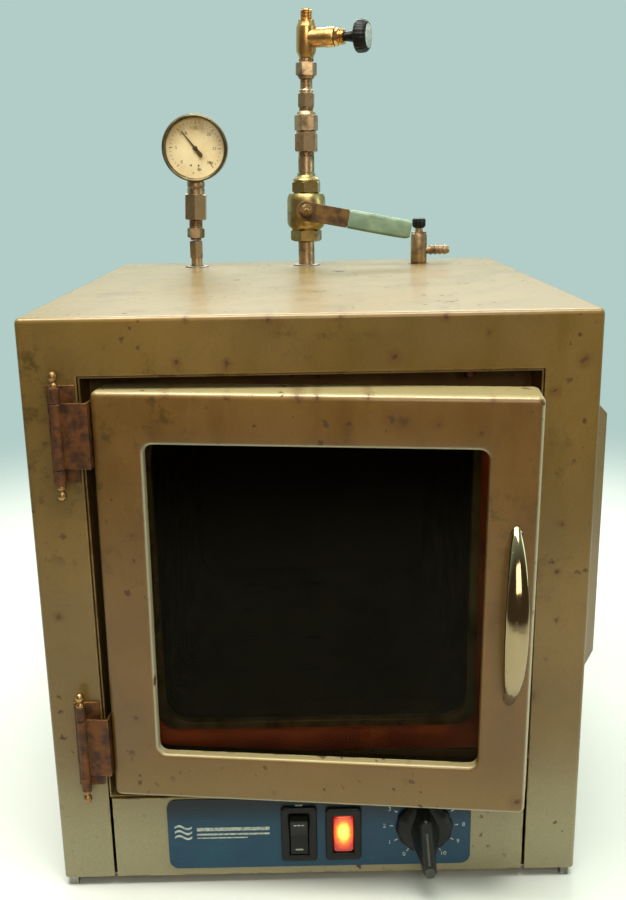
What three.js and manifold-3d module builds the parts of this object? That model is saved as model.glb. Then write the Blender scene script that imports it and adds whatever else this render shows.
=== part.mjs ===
// A bench vacuum oven. A painted steel cabinet holds a square vacuum chamber behind a glazed door
// that hangs on two leaf hinges. A strip under the door carries the switch, lamp and thermostat, and
// the gauge, the vacuum line with its two valves and the vent valve stand on the roof.
// Millimetres, +Z up, +Y towards the back. Inside the group "oven", x = 0 is the cabinet's middle,
// y = 0 its front face and z = 0 its underside.
import * as THREE from 'three';
import { RoundedBoxGeometry } from 'three/addons/geometries/RoundedBoxGeometry.js';
import { mergeVertices } from 'three/addons/utils/BufferGeometryUtils.js';
import Module from 'manifold-3d';

const wasm = await Module();
wasm.setup();

// ---- driving dimensions ----

const GAP = 0.3; // between pieces that touch
const ROUND = 20; // sides of a round piece
const DEGREE = Math.PI / 180;

const CABINET = { width: 420, depth: 460, height: 461, sheet: 2, edge: 4 };
const RUNNER = { width: 7, height: 8, inset: 4 };
const OPENING = { half: 168.5, top: 418.5 };
const PANEL = { top: 73, seam: 2.4 };
const LABEL = { x: 0.5, z: 39.5, width: 246, height: 64, corner: 8, thickness: 0.8 };

const DOOR = { width: 322, height: 329, z: 243, front: -4, depth: 34, edge: 5, sheet: 2 };
const DOOR_AJAR = 5.7 * DEGREE;
const DOOR_SAG = 0.5 * DEGREE; // it hangs a little low on the handle's side
const WINDOW = { width: 248, height: 251, corner: 7, lip: 8 };
const PANE = { side: 272, thickness: 3 };
const GLASS = { side: 298, thickness: 12 };
const HANDLE = { x: 145, z: 242.5, length: 141, width: 17, bow: 32, bar: 7 };
const HINGE = { x: -183, y: -9, heights: [376.5, 124.5], barrel: 3.8, pin: 1.9, length: 73, leaf: 49 };

const GASKET = { inside: 262, outside: 302, thickness: 7.8, corner: 18 };
const FLANGE = { side: 312, thickness: 8 };
const CHAMBER = { inside: 250, wall: 5, depth: 320, corner: 22 };

const ROCKER = { x: -16, z: 39, width: 29, height: 50, paddle: 14.4, tilt: 8 * DEGREE, reach: 18.8 };
const LAMP = { x: 20, z: 38.5, width: 29, height: 48 };
const KNOB = { x: 85.5, z: 44, skirt: 23, turn: 5 * DEGREE };
const THERMOSTAT_BACK = 34;
const BULB = { x: 73.5, z: 101, front: 95, length: 110 };

const COVER = { front: 12, back: 448, bottom: 172, top: 391, proud: 12, sheet: 1.5 };
const PORT_Y = 405;
const PORT_RADIUS = 10.5;
const GAUGE = { x: -120.6, foot: 28, lean: 2.5 * DEGREE, radius: 33.5, depth: 28, centre: 96 };
const VACUUM = { x: -1.1, foot: 25, lean: 1 * DEGREE };
const VENT = { x: 121 };
const INLET = { x: -140, z: 60, width: 48, height: 28, proud: 3, depth: 22 };

const doorBack = DOOR.front + DOOR.depth;
const gasketFront = doorBack + GAP;
const flangeFront = gasketFront + GASKET.thickness + GAP;
const chamberFront = flangeFront + FLANGE.thickness + GAP;
const chamberBack = chamberFront + CHAMBER.depth + CHAMBER.wall;

// ---- looks ----

const LOOKS = {
  khakiPaint: { color: 0x8a7a55, roughness: 0.45, metalness: 0.25 },
  brownPaint: { color: 0x80663c, roughness: 0.45, metalness: 0.25 },
  bareSteel: { color: 0x8d8f8c, roughness: 0.4, metalness: 0.9 },
  rustySteel: { color: 0x6a4026, roughness: 0.8, metalness: 0.4 },
  chrome: { color: 0xe4e2dc, roughness: 0.08, metalness: 1.0 },
  brass: { color: 0xb08a3e, roughness: 0.3, metalness: 1.0 },
  oldBrass: { color: 0x786040, roughness: 0.5, metalness: 0.9 },
  blueLabel: { color: 0x325069, roughness: 0.35, metalness: 0.1 },
  blackPlastic: { color: 0x141914, roughness: 0.4, metalness: 0.0 },
  lampLens: { color: 0xff7a22, roughness: 0.2, metalness: 0.0 },
  redSilicone: { color: 0x7a2c18, roughness: 0.6, metalness: 0.0 },
  greenVinyl: { color: 0x86a88c, roughness: 0.5, metalness: 0.0 },
  creamDial: { color: 0xe1cda0, roughness: 0.6, metalness: 0.0 },
  clearGlass: { color: 0xcfd8d4, roughness: 0.05, metalness: 0.0, transparent: true, opacity: 0.35 },
  mineralWool: { color: 0xb9a878, roughness: 0.95, metalness: 0.0 },
};

// ---- solids ----

// A closed solid, for joining and cutting, from any closed geometry.
function solid(geometry) {
  const bare = geometry.clone();
  bare.deleteAttribute('normal');
  bare.deleteAttribute('uv');
  const merged = mergeVertices(bare);
  const corners = [...merged.index.array];
  const kept = [];
  for (let i = 0; i < corners.length; i += 3) {
    const [a, b, c] = corners.slice(i, i + 3);
    if (a !== b && b !== c && c !== a) kept.push(a, b, c);
  }
  return new wasm.Manifold(new wasm.Mesh({
    numProp: 3,
    vertProperties: new Float32Array(merged.attributes.position.array),
    triVerts: new Uint32Array(kept),
  }));
}

function geometryOf(body) {
  const mesh = body.getMesh();
  const geometry = new THREE.BufferGeometry();
  geometry.setAttribute('position', new THREE.BufferAttribute(mesh.vertProperties, 3));
  geometry.setIndex(new THREE.BufferAttribute(mesh.triVerts, 1));
  geometry.computeVertexNormals();
  return geometry;
}

function join(...geometries) {
  return geometryOf(geometries.map(solid).reduce((whole, next) => whole.add(next)));
}

function cut(geometry, ...tools) {
  return geometryOf(tools.map(solid).reduce((rest, tool) => rest.subtract(tool), solid(geometry)));
}

function overlap(first, second) {
  return geometryOf(solid(first).intersect(solid(second)));
}

function box([x0, x1], [y0, y1], [z0, z1]) {
  return new THREE.BoxGeometry(x1 - x0, y1 - y0, z1 - z0)
    .translate((x0 + x1) / 2, (y0 + y1) / 2, (z0 + z1) / 2);
}

function roundedRectangle(width, height, corner) {
  const x = width / 2 - corner;
  const y = height / 2 - corner;
  const shape = new THREE.Shape();
  shape.absarc(x, y, corner, 0, Math.PI / 2);
  shape.absarc(-x, y, corner, Math.PI / 2, Math.PI);
  shape.absarc(-x, -y, corner, Math.PI, 1.5 * Math.PI);
  shape.absarc(x, -y, corner, 1.5 * Math.PI, 2 * Math.PI);
  return shape;
}

// An outline drawn as (x, z), standing upright between y0 and y1.
function upright(shape, y0, y1, curveSegments = 4) {
  return new THREE.ExtrudeGeometry(shape, { depth: y1 - y0, bevelEnabled: false, curveSegments })
    .rotateX(Math.PI / 2)
    .translate(0, y1, 0);
}

// An upright slab with rounded corners, centred on (x, z), from y0 to y1.
function slab({ x = 0, z, width, height = width, corner, y0, y1 }) {
  return upright(roundedRectangle(width, height, corner), y0, y1).translate(x, 0, z);
}

function slabRing(outer, inner) {
  const hole = { ...outer, ...inner, y0: outer.y0 - 1, y1: outer.y1 + 1 };
  return cut(slab(outer), slab(hole));
}

// A solid of revolution about +Z, from [radius, height] pairs.
function turned(profile, sides = ROUND) {
  const points = profile.map(([radius, height]) => new THREE.Vector2(radius, height));
  return new THREE.LatheGeometry(points, sides).rotateX(Math.PI / 2);
}

function rod(radius, z0, z1, sides = ROUND) {
  return turned([[0, z0], [radius, z0], [radius, z1], [0, z1]], sides);
}

// A hexagonal nut about +Z; width is the size seen from the front, corner to corner.
function hexagon(width, z0, z1) {
  return rod(width / 2, z0, z1, 6).rotateZ(Math.PI / 6);
}

// From a piece made about +Z to the same piece pointing at the viewer (-Y) or to the right (+X).
const facingFront = (geometry) => geometry.rotateX(Math.PI / 2);
const facingRight = (geometry) => geometry.rotateY(Math.PI / 2);

const parts = [];

function part(name, geometry, look, parent) {
  const mesh = new THREE.Mesh(geometry, new THREE.MeshStandardMaterial(look));
  mesh.name = name;
  parent.add(mesh);
  parts.push(mesh);
  return mesh;
}

const oven = new THREE.Group();

// ---- cabinet ----

// A box with rounded edges in front, on top and at the sides, cut square behind and below.
function foldedBox(inset, edge) {
  const { width, depth, height } = CABINET;
  const w = width - 2 * inset;
  const d = depth - inset + edge;
  const h = height - inset + edge;
  const whole = new RoundedBoxGeometry(w, d, h, 2, edge)
    .translate(0, inset + d / 2, height - inset - h / 2);
  return overlap(whole, box([-width, width], [-1, depth], [0, height + 1]));
}

function cabinetShell() {
  const { sheet, edge, height } = CABINET;
  const hollow = foldedBox(sheet, edge - sheet);
  const mouth = box([-OPENING.half, OPENING.half], [-1, sheet + 1], [-1, OPENING.top]);
  const portHoles = [GAUGE.x, VACUUM.x, VENT.x].map(
    (x) => rod(PORT_RADIUS, height - 10, height + 10).translate(x, PORT_Y, 0));
  return cut(foldedBox(0, edge), hollow, mouth, ...portHoles);
}

function backPanel() {
  const { width, depth, height, sheet, edge } = CABINET;
  const tall = height - sheet - 2 * GAP;
  const panel = slab({ z: GAP + tall / 2, width: width - 2 * (sheet + GAP), height: tall,
    corner: edge - sheet, y0: depth - sheet, y1: depth });
  const slots = [];
  for (const side of [-1, 1]) {
    for (let row = 0; row < 5; row += 1) {
      const [x, z] = [side * 95, 330 + row * 14];
      slots.push(box([x - 45, x + 45], [depth - 5, depth + 5], [z, z + 5]));
    }
  }
  const inletHole = slab({ x: INLET.x, z: INLET.z, width: INLET.width - 12, height: INLET.height - 2,
    corner: 3, y0: depth - 5, y1: depth + 5 });
  return cut(panel, ...slots, inletHole);
}

function buildCabinet() {
  const { width, depth, sheet } = CABINET;
  const half = width / 2;
  part('cabinet_shell', cabinetShell(), LOOKS.khakiPaint, oven);
  part('back_panel', backPanel(), LOOKS.khakiPaint, oven);
  const margin = sheet + 1;
  part('base_pan', box([margin - half, half - margin], [margin, depth - margin], [0, sheet]),
    LOOKS.bareSteel, oven);
  for (const [name, side] of [['base_runner_left', -1], ['base_runner_right', 1]]) {
    const outside = side * (half - RUNNER.inset);
    const inside = side * (half - RUNNER.inset - RUNNER.width);
    part(name, box([Math.min(inside, outside), Math.max(inside, outside)], [sheet, depth - sheet],
      [-RUNNER.height, -GAP]), LOOKS.bareSteel, oven);
  }
}

// The tray between the front opening and the chamber's flange, which the door closes into.
function buildRecess() {
  const { sheet } = CABINET;
  const edge = OPENING.half - GAP;
  const bottom = PANEL.top + GAP;
  const top = OPENING.top - GAP;
  const back = flangeFront - GAP;
  const wall = 1.5;
  const tray = box([-edge, edge], [sheet + GAP, back], [bottom, top]);
  const inside = box([-edge + wall, edge - wall], [0, back - wall], [bottom + wall, top - wall]);
  const mouth = slab({ z: DOOR.z, width: GASKET.outside + 4, corner: GASKET.corner, y0: 0, y1: back + 5 });
  part('recess_liner', cut(tray, inside, mouth), LOOKS.brownPaint, oven);
  const stud = turned([[0, -7], [3.5, -7], [4.5, -6], [4.5, -GAP], [0, -GAP]], 12);
  part('catch_stud', stud.translate(117, 18, top - wall), LOOKS.rustySteel, oven);
}

// A shallow pressed cover with sloped edges, over the wiring on the right-hand side.
function sidePan(inset, proud) {
  const rim = [[COVER.front, COVER.back], [COVER.bottom, COVER.top]].map(
    ([low, high]) => [low + inset, high - inset]);
  const trapezium = ([low, high]) => {
    const shape = new THREE.Shape();
    shape.moveTo(0, low);
    shape.lineTo(proud, low + proud);
    shape.lineTo(proud, high - proud);
    shape.lineTo(0, high);
    return shape;
  };
  const span = CABINET.depth + CABINET.height;
  const alongY = new THREE.ExtrudeGeometry(trapezium(rim[0]), { depth: span, bevelEnabled: false });
  const alongZ = new THREE.ExtrudeGeometry(trapezium(rim[1]), { depth: span, bevelEnabled: false })
    .rotateX(Math.PI / 2)
    .translate(0, span, 0);
  return overlap(alongY, alongZ);
}

function buildSideCover() {
  const pan = cut(sidePan(0, COVER.proud), sidePan(COVER.sheet * 1.5, COVER.proud - COVER.sheet)
    .translate(-0.01, 0, 0));
  part('access_cover', pan.translate(CABINET.width / 2 + GAP, 0, 0), LOOKS.khakiPaint, oven);
}

// An appliance inlet: a flanged housing with a socket that opens to the back.
function buildPowerInlet() {
  const { x, z, width, height, proud, depth } = INLET;
  const panel = CABINET.depth;
  const flange = slab({ x, z, width, height, corner: 4, y0: panel + GAP, y1: panel + proud });
  const housing = slab({ x, z, width: width - 13, height: height - 3, corner: 2.5,
    y0: panel - depth, y1: panel + 1 });
  const socket = slab({ x, z, width: width - 20, height: height - 8, corner: 3,
    y0: panel - depth + 4, y1: panel + proud + 1 });
  const blades = [-7, 0, 7].map((offset) => box([x + offset - 1, x + offset + 1],
    [panel - depth + 2, panel - 2], [z - 2.5, z + 2.5]));
  part('power_inlet', join(cut(join(flange, housing), socket), ...blades), LOOKS.blackPlastic, oven);
}

// ---- chamber ----

function chamberBody() {
  const outside = CHAMBER.inside + 2 * CHAMBER.wall;
  const shell = slab({ z: DOOR.z, width: outside, corner: CHAMBER.corner + CHAMBER.wall,
    y0: chamberFront, y1: chamberBack });
  const cavity = slab({ z: DOOR.z, width: CHAMBER.inside, corner: CHAMBER.corner,
    y0: chamberFront - 1, y1: chamberBack - CHAMBER.wall });
  return cut(shell, cavity);
}

// A sheet that wraps the chamber's sides and underside, open on top.
function heaterJacket() {
  const inside = CHAMBER.inside + 2 * CHAMBER.wall + 2 * GAP;
  const y0 = chamberFront + 30;
  const y1 = chamberBack - 40;
  const sleeve = slabRing({ z: DOOR.z, width: inside + 6, corner: CHAMBER.corner + 8, y0, y1 },
    { width: inside, corner: CHAMBER.corner + 5 });
  return cut(sleeve, box([-inside, inside], [y0 - 1, y1 + 1], [DOOR.z + inside / 2 - 25, 500]));
}

// A thick blanket around the chamber, with a groove under it for the thermostat's bulb.
function insulation() {
  const y0 = chamberFront + 14;
  const blanket = slabRing({ z: DOOR.z, width: CHAMBER.inside + 116, corner: 8, y0, y1: chamberBack },
    { width: CHAMBER.inside + 2 * CHAMBER.wall + 8, corner: CHAMBER.corner + 6 });
  const groove = box([BULB.x - 6, BULB.x + 6], [y0 - 1, BULB.front + BULB.length + 5],
    [BULB.z - 6, BULB.z + 12]);
  return cut(blanket, groove);
}

// A loose tray that lies on the chamber's floor, its front edge turned down.
function shelf() {
  const floor = DOOR.z - CHAMBER.inside / 2 + GAP;
  const half = CHAMBER.inside / 2 - CHAMBER.corner - 2;
  const front = chamberFront + 3;
  const back = chamberBack - CHAMBER.wall - 12;
  const deck = box([-half, half], [front, back], [floor + 9, floor + 11]);
  const edges = [
    box([-half, half], [front, front + 2], [floor, floor + 10]),
    box([-half, half], [back - 2, back], [floor, floor + 10]),
  ];
  const holes = [];
  for (const x of [-66, 0, 66]) {
    for (let row = 0; row < 4; row += 1) {
      holes.push(rod(11, floor, floor + 20, 8).translate(x, front + 50 + row * 66, 0));
    }
  }
  return cut(join(deck, ...edges), ...holes);
}

function buildChamber() {
  part('chamber_body', chamberBody(), LOOKS.bareSteel, oven);
  part('chamber_flange', slabRing(
    { z: DOOR.z, width: FLANGE.side, corner: 12, y0: flangeFront, y1: flangeFront + FLANGE.thickness },
    { width: CHAMBER.inside, corner: CHAMBER.corner }), LOOKS.bareSteel, oven);
  part('door_gasket', slabRing(
    { z: DOOR.z, width: GASKET.outside, corner: GASKET.corner, y0: gasketFront,
      y1: gasketFront + GASKET.thickness },
    { width: GASKET.inside, corner: GASKET.corner }), LOOKS.redSilicone, oven);
  part('heater_jacket', heaterJacket(), LOOKS.rustySteel, oven);
  part('insulation_blanket', insulation(), LOOKS.mineralWool, oven);
  part('chamber_shelf', shelf(), LOOKS.bareSteel, oven);
}

// ---- control strip ----

function controlHoles(y0, y1) {
  return [
    slab({ x: ROCKER.x, z: ROCKER.z, width: 25, height: 45, corner: 2, y0, y1 }),
    slab({ x: LAMP.x, z: LAMP.z, width: 22, height: 40, corner: 2, y0, y1 }),
    facingFront(rod(4, -y1, -y0, 12)).translate(KNOB.x, 0, KNOB.z),
  ];
}

function buildControlPlates() {
  const half = OPENING.half - PANEL.seam;
  const plate = box([-half, half], [0, CABINET.sheet], [0.5, PANEL.top]);
  part('control_panel', cut(plate, ...controlHoles(-1, 5)), LOOKS.khakiPaint, oven);
  const label = slab({ ...LABEL, y0: -GAP - LABEL.thickness, y1: -GAP });
  part('label_plate', cut(label, ...controlHoles(-5, 1)), LOOKS.blueLabel, oven);
}

const labelFront = -GAP - LABEL.thickness;

// A frame that sits on the label and a hollow barrel that goes back through the panel.
function switchBezel(place, barrel, hollow) {
  const { x, z } = place;
  const face = { x, z, width: place.width, height: place.height, corner: 3 };
  const frame = slab({ ...face, y0: labelFront - GAP - 3, y1: labelFront - GAP });
  const sleeve = slab({ x, z, ...barrel, corner: 1.5, y0: labelFront - GAP - 1, y1: 22 });
  const well = slab({ x, z, ...hollow, corner: 1, y0: labelFront - 5, y1: 20 });
  return cut(join(frame, sleeve), well);
}

// The rocker's side view as (outwards, up) from its pivot: two faces that meet in a shallow
// valley, and round ends that turn inside the bezel.
function rockerPaddle() {
  const tip = Math.asin(8.5 / ROCKER.reach);
  const heel = Math.asin(-3 / ROCKER.reach);
  const shape = new THREE.Shape();
  shape.moveTo(5.5, 0);
  shape.absarc(0, 0, ROCKER.reach, Math.PI / 2 - tip, Math.PI / 2 - heel, false);
  shape.absarc(0, 0, ROCKER.reach, 1.5 * Math.PI + heel, 1.5 * Math.PI + tip, false);
  return new THREE.ExtrudeGeometry(shape, { depth: ROCKER.paddle, bevelEnabled: false, curveSegments: 3 })
    .translate(0, 0, -ROCKER.paddle / 2)
    .rotateX(Math.PI / 2)
    .rotateZ(-Math.PI / 2);
}

function thermostatKnob() {
  const base = labelFront - GAP;
  const skirt = facingFront(turned([[0, 0], [KNOB.skirt, 0], [KNOB.skirt, 4], [KNOB.skirt - 3, 8],
    [0, 8]], 24)).translate(0, base, 0);
  const outline = new THREE.Shape();
  outline.moveTo(-6.5, -27);
  outline.absarc(0, -24, 6, 1.1 * Math.PI, 1.9 * Math.PI);
  outline.lineTo(4.5, 19);
  outline.absarc(0, 19, 4.5, 0, Math.PI);
  const grip = upright(outline, base - 28, base - 7, 3);
  const shaft = facingFront(rod(3, -11, 1, 12)).translate(0, base, 0);
  return join(skirt, grip, shaft).rotateY(-KNOB.turn);
}

function thermostatBody() {
  const can = box([KNOB.x - 20, KNOB.x + 20], [CABINET.sheet + GAP, THERMOSTAT_BACK],
    [KNOB.z - 24, KNOB.z + 22]);
  const shaftHole = facingFront(rod(3.4, -12, 0, 12)).translate(KNOB.x, 0, KNOB.z);
  return cut(can, shaftHole);
}

// The sensing bulb under the chamber and the capillary that runs back to the thermostat.
function thermostatBulb() {
  const { x, z, front, length } = BULB;
  const behindFlange = flangeFront + FLANGE.thickness + 6;
  const start = KNOB.z - 10;
  const route = new THREE.CatmullRomCurve3([
    new THREE.Vector3(x, THERMOSTAT_BACK + GAP, start),
    new THREE.Vector3(x, behindFlange - 8, start),
    new THREE.Vector3(x, behindFlange, start + 12),
    new THREE.Vector3(x, behindFlange, z - 14),
    new THREE.Vector3(x, behindFlange + 8, z),
    new THREE.Vector3(x, front + 2, z),
  ]);
  const section = new THREE.Shape().absarc(0, 0, 1.5, 0, 2 * Math.PI);
  const capillary = new THREE.ExtrudeGeometry(section,
    { steps: 20, curveSegments: 3, extrudePath: route, bevelEnabled: false });
  const bulb = rod(4, 0, length, 10).rotateX(-Math.PI / 2).translate(x, front, z);
  return join(capillary, bulb);
}

function buildControls() {
  const rockerWell = { width: ROCKER.paddle + 1, height: 38.4 };
  part('rocker_bezel', switchBezel(ROCKER, { width: 24.4, height: 44.4 }, rockerWell),
    LOOKS.blackPlastic, oven);
  const rocker = part('power_rocker', rockerPaddle(), LOOKS.blackPlastic, oven);
  rocker.position.set(ROCKER.x, 2, ROCKER.z);
  rocker.rotation.x = ROCKER.tilt;
  part('pilot_bezel', switchBezel(LAMP, { width: 21.4, height: 39.4 }, { width: 17, height: 34 }),
    LOOKS.blackPlastic, oven);
  const lens = new RoundedBoxGeometry(16.4, 14, 33.4, 2, 2).translate(LAMP.x, labelFront + 4.4, LAMP.z);
  part('pilot_lens', lens, LOOKS.lampLens, oven);
  part('thermostat_body', thermostatBody(), LOOKS.bareSteel, oven);
  part('thermostat_knob', thermostatKnob().translate(KNOB.x, 0, KNOB.z), LOOKS.blackPlastic, oven);
  part('thermostat_bulb', thermostatBulb(), LOOKS.brass, oven);
}

// ---- door ----

// The door is drawn shut and level, inside one group that tips it about its middle and another that
// turns it about the hinge line.
const doorSwing = new THREE.Group();
doorSwing.position.set(HINGE.x, HINGE.y, 0);
doorSwing.rotation.z = -DOOR_AJAR;
oven.add(doorSwing);
const doorTip = new THREE.Group();
doorTip.position.set(-HINGE.x, -HINGE.y, DOOR.z);
doorTip.rotation.y = DOOR_SAG;
doorSwing.add(doorTip);
const door = new THREE.Group();
door.position.set(0, 0, -DOOR.z);
doorTip.add(door);

function doorShell() {
  const { width, height, z, front, depth, edge, sheet } = DOOR;
  const deep = depth + edge;
  const outer = new RoundedBoxGeometry(width, deep, height, 2, edge).translate(0, front + deep / 2, z);
  const block = overlap(outer, box([-width, width], [front - 1, doorBack], [0, 500]));
  const hollow = box([-width / 2 + sheet, width / 2 - sheet], [front + sheet, doorBack + 1],
    [z - height / 2 + sheet, z + height / 2 - sheet]);
  const { corner, lip, ...opening } = WINDOW;
  const collar = slabRing({ z, width: opening.width + 4, height: opening.height + 4, corner: corner + 2,
    y0: front + 1, y1: front + lip }, { ...opening, corner });
  const hole = slab({ z, ...opening, corner, y0: front - 1, y1: doorBack });
  return join(cut(block, hollow, hole), collar);
}

// A rebated ring that fills the back of the door: the thin pane lies in front of it and the thick
// vacuum glass in its rebate.
function doorInnerFrame() {
  const { width, height, z, sheet, front } = DOOR;
  const y0 = front + WINDOW.lip + GAP + PANE.thickness + GAP;
  const rebate = doorBack - GLASS.thickness - 2 * GAP;
  const ring = slab({ z, width: width - 2 * sheet - 2 * GAP, height: height - 2 * sheet - 2 * GAP,
    corner: 2, y0, y1: doorBack - GAP });
  const bore = slab({ z, width: WINDOW.width + 8, height: WINDOW.height + 8, corner: WINDOW.corner,
    y0: y0 - 1, y1: doorBack + 1 });
  const seat = slab({ z, width: GLASS.side + 2 * GAP, corner: 4, y0: rebate, y1: doorBack + 1 });
  return cut(ring, bore, seat);
}

// A bow-shaped pull: an arched bar, leaf-shaped when seen from the front.
function doorHandle() {
  const { x, z, length, width, bow, bar } = HANDLE;
  const half = length / 2;
  const arc = (rise, reach) => ({ radius: (reach * reach + rise * rise) / (2 * rise), reach });
  const outer = arc(bow, half);
  const inner = arc(bow - bar, half - bar);
  const crescent = new THREE.Shape();
  const sweep = ({ radius, reach }) => Math.asin(reach / radius);
  crescent.absarc(bow - outer.radius, 0, outer.radius, -sweep(outer), sweep(outer), false);
  crescent.absarc(bow - bar - inner.radius, 0, inner.radius, sweep(inner), -sweep(inner), true);
  const arch = new THREE.ExtrudeGeometry(crescent, { depth: width, bevelEnabled: false,
    curveSegments: 16 }).translate(0, 0, -width / 2).rotateX(Math.PI / 2).rotateZ(-Math.PI / 2);
  const leaf = new THREE.Shape();
  const bulge = arc(width / 2 - 3, half);
  const middle = width / 2 - bulge.radius;
  leaf.absarc(middle, 0, bulge.radius, -sweep(bulge), sweep(bulge), false);
  leaf.absarc(-middle, 0, bulge.radius, Math.PI - sweep(bulge), Math.PI + sweep(bulge), false);
  const outline = upright(leaf, -bow - 1, 1, 12);
  return overlap(arch, outline).translate(x, DOOR.front - GAP, z);
}

function buildDoor() {
  const { z, front } = DOOR;
  const paneFront = front + WINDOW.lip + GAP;
  part('door_shell', doorShell(), LOOKS.brownPaint, door);
  part('window_pane', slab({ z, width: PANE.side, corner: 4, y0: paneFront,
    y1: paneFront + PANE.thickness }), LOOKS.clearGlass, door);
  part('door_inner_frame', doorInnerFrame(), LOOKS.bareSteel, door);
  part('vacuum_glass', slab({ z, width: GLASS.side, corner: 4, y0: doorBack - GAP - GLASS.thickness,
    y1: doorBack - GAP }), LOOKS.clearGlass, door);
  part('door_handle', doorHandle(), LOOKS.chrome, door);
}

// ---- hinges ----

// Each hinge has a fixed leaf with a knuckle at each end of the barrel, a moving leaf with the long
// middle knuckle, and a pin with a double ball at both ends.
function fixedLeaf(pinHole) {
  const { barrel, length, leaf } = HINGE;
  const low = length / 2;
  const plate = box([-7, 13], [6.7, 8.7], [-low, low]);
  const knuckle = (low - leaf / 2) - GAP;
  const ends = [-1, 1].flatMap((side) => {
    const z0 = side * low;
    const z1 = side * (low - knuckle);
    const span = [Math.min(z0, z1), Math.max(z0, z1)];
    return [rod(barrel, ...span, 16), box([-barrel + 1, barrel - 1], [0, 7.5], span)];
  });
  return cut(join(plate, ...ends), pinHole);
}

// The door's side leans with its sag, so how far it is from the hinge line depends on the height.
function movingLeaf(pinHole, height) {
  const { barrel, leaf } = HINGE;
  const half = leaf / 2;
  const lean = (height - half - DOOR.z) * Math.sin(DOOR_SAG);
  const doorSide = lean - DOOR.width / 2 - GAP - HINGE.x;
  const knuckle = rod(barrel, -half, half, 16);
  const plate = box([0, doorSide], [1.2, 3.2], [-half, half]);
  const flange = box([doorSide - 2, doorSide], [1.2, 30], [-half, half]);
  return cut(join(knuckle, plate, flange), pinHole);
}

function hingePin() {
  const { pin, length } = HINGE;
  const half = length / 2 + GAP;
  const bead = [[pin, half], [3.2, half], [3.2, half + 2], [2, half + 3.5], [2.6, half + 5],
    [3.6, half + 7.5], [2.6, half + 10.2], [0, half + 11.5]];
  const mirrored = bead.map(([radius, height]) => [radius, -height]).reverse();
  return turned([...mirrored, ...bead], 12);
}

function buildHinges() {
  HINGE.heights.forEach((height, index) => {
    const where = index === 0 ? 'upper' : 'lower';
    const pinHole = rod(HINGE.pin + GAP, -HINGE.length, HINGE.length, 12);
    const fixed = part(`hinge_leaf_fixed_${where}`, fixedLeaf(pinHole), LOOKS.rustySteel, oven);
    fixed.position.set(HINGE.x, HINGE.y, height);
    const pin = part(`hinge_pin_${where}`, hingePin(), LOOKS.rustySteel, oven);
    pin.position.set(HINGE.x, HINGE.y, height);
    const moving = part(`hinge_leaf_door_${where}`, movingLeaf(pinHole, height), LOOKS.rustySteel,
      doorSwing);
    moving.position.set(0, 0, height);
  });
}

// ---- roof fittings ----

// A pipe that comes up through the roof from a port in the chamber's back wall.
function roofPipe(x, radius, top) {
  const roof = CABINET.height;
  const port = DOOR.z + 60;
  const bend = 22;
  const path = new THREE.CurvePath();
  const elbow = new THREE.Vector3(x, PORT_Y, port);
  const above = new THREE.Vector3(x, PORT_Y, port + bend);
  const ahead = new THREE.Vector3(x, PORT_Y - bend, port);
  path.add(new THREE.LineCurve3(new THREE.Vector3(x, PORT_Y, roof + top), above));
  path.add(new THREE.QuadraticBezierCurve3(above, elbow, ahead));
  path.add(new THREE.LineCurve3(ahead, new THREE.Vector3(x, chamberBack + GAP, port)));
  const section = new THREE.Shape().absarc(0, 0, radius, 0, 2 * Math.PI);
  return new THREE.ExtrudeGeometry(section,
    { steps: 14, curveSegments: 5, extrudePath: path, bevelEnabled: false });
}

function fittingGroup(x, foot, lean) {
  const group = new THREE.Group();
  group.position.set(x, PORT_Y, CABINET.height + foot);
  group.rotation.y = lean;
  oven.add(group);
  return group;
}

function gaugeCase() {
  const { radius, depth, centre } = GAUGE;
  const can = facingFront(turned([[0, -depth / 2], [radius - 2, -depth / 2], [radius, -depth / 2 + 2],
    [radius, depth / 2 - 3], [0, depth / 2 - 3]], 28)).translate(0, 0, centre);
  const room = facingFront(rod(radius - 2, depth / 2 - 10, depth / 2, 28)).translate(0, 0, centre);
  const socket = rod(9.5, 56, centre - radius + 4, 16);
  return cut(join(can, socket), room);
}

function gaugeNeedle() {
  const outline = new THREE.Shape();
  outline.moveTo(-0.5, 24);
  outline.lineTo(0.5, 24);
  outline.lineTo(1.1, 3);
  outline.lineTo(2.6, -6);
  outline.lineTo(2.6, -9);
  outline.lineTo(-2.6, -9);
  outline.lineTo(-2.6, -6);
  outline.lineTo(-1.1, 3);
  return join(upright(outline, -0.6, 0), facingFront(rod(2.6, 0, 1.4, 12))).rotateY(-40 * DEGREE);
}

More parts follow.
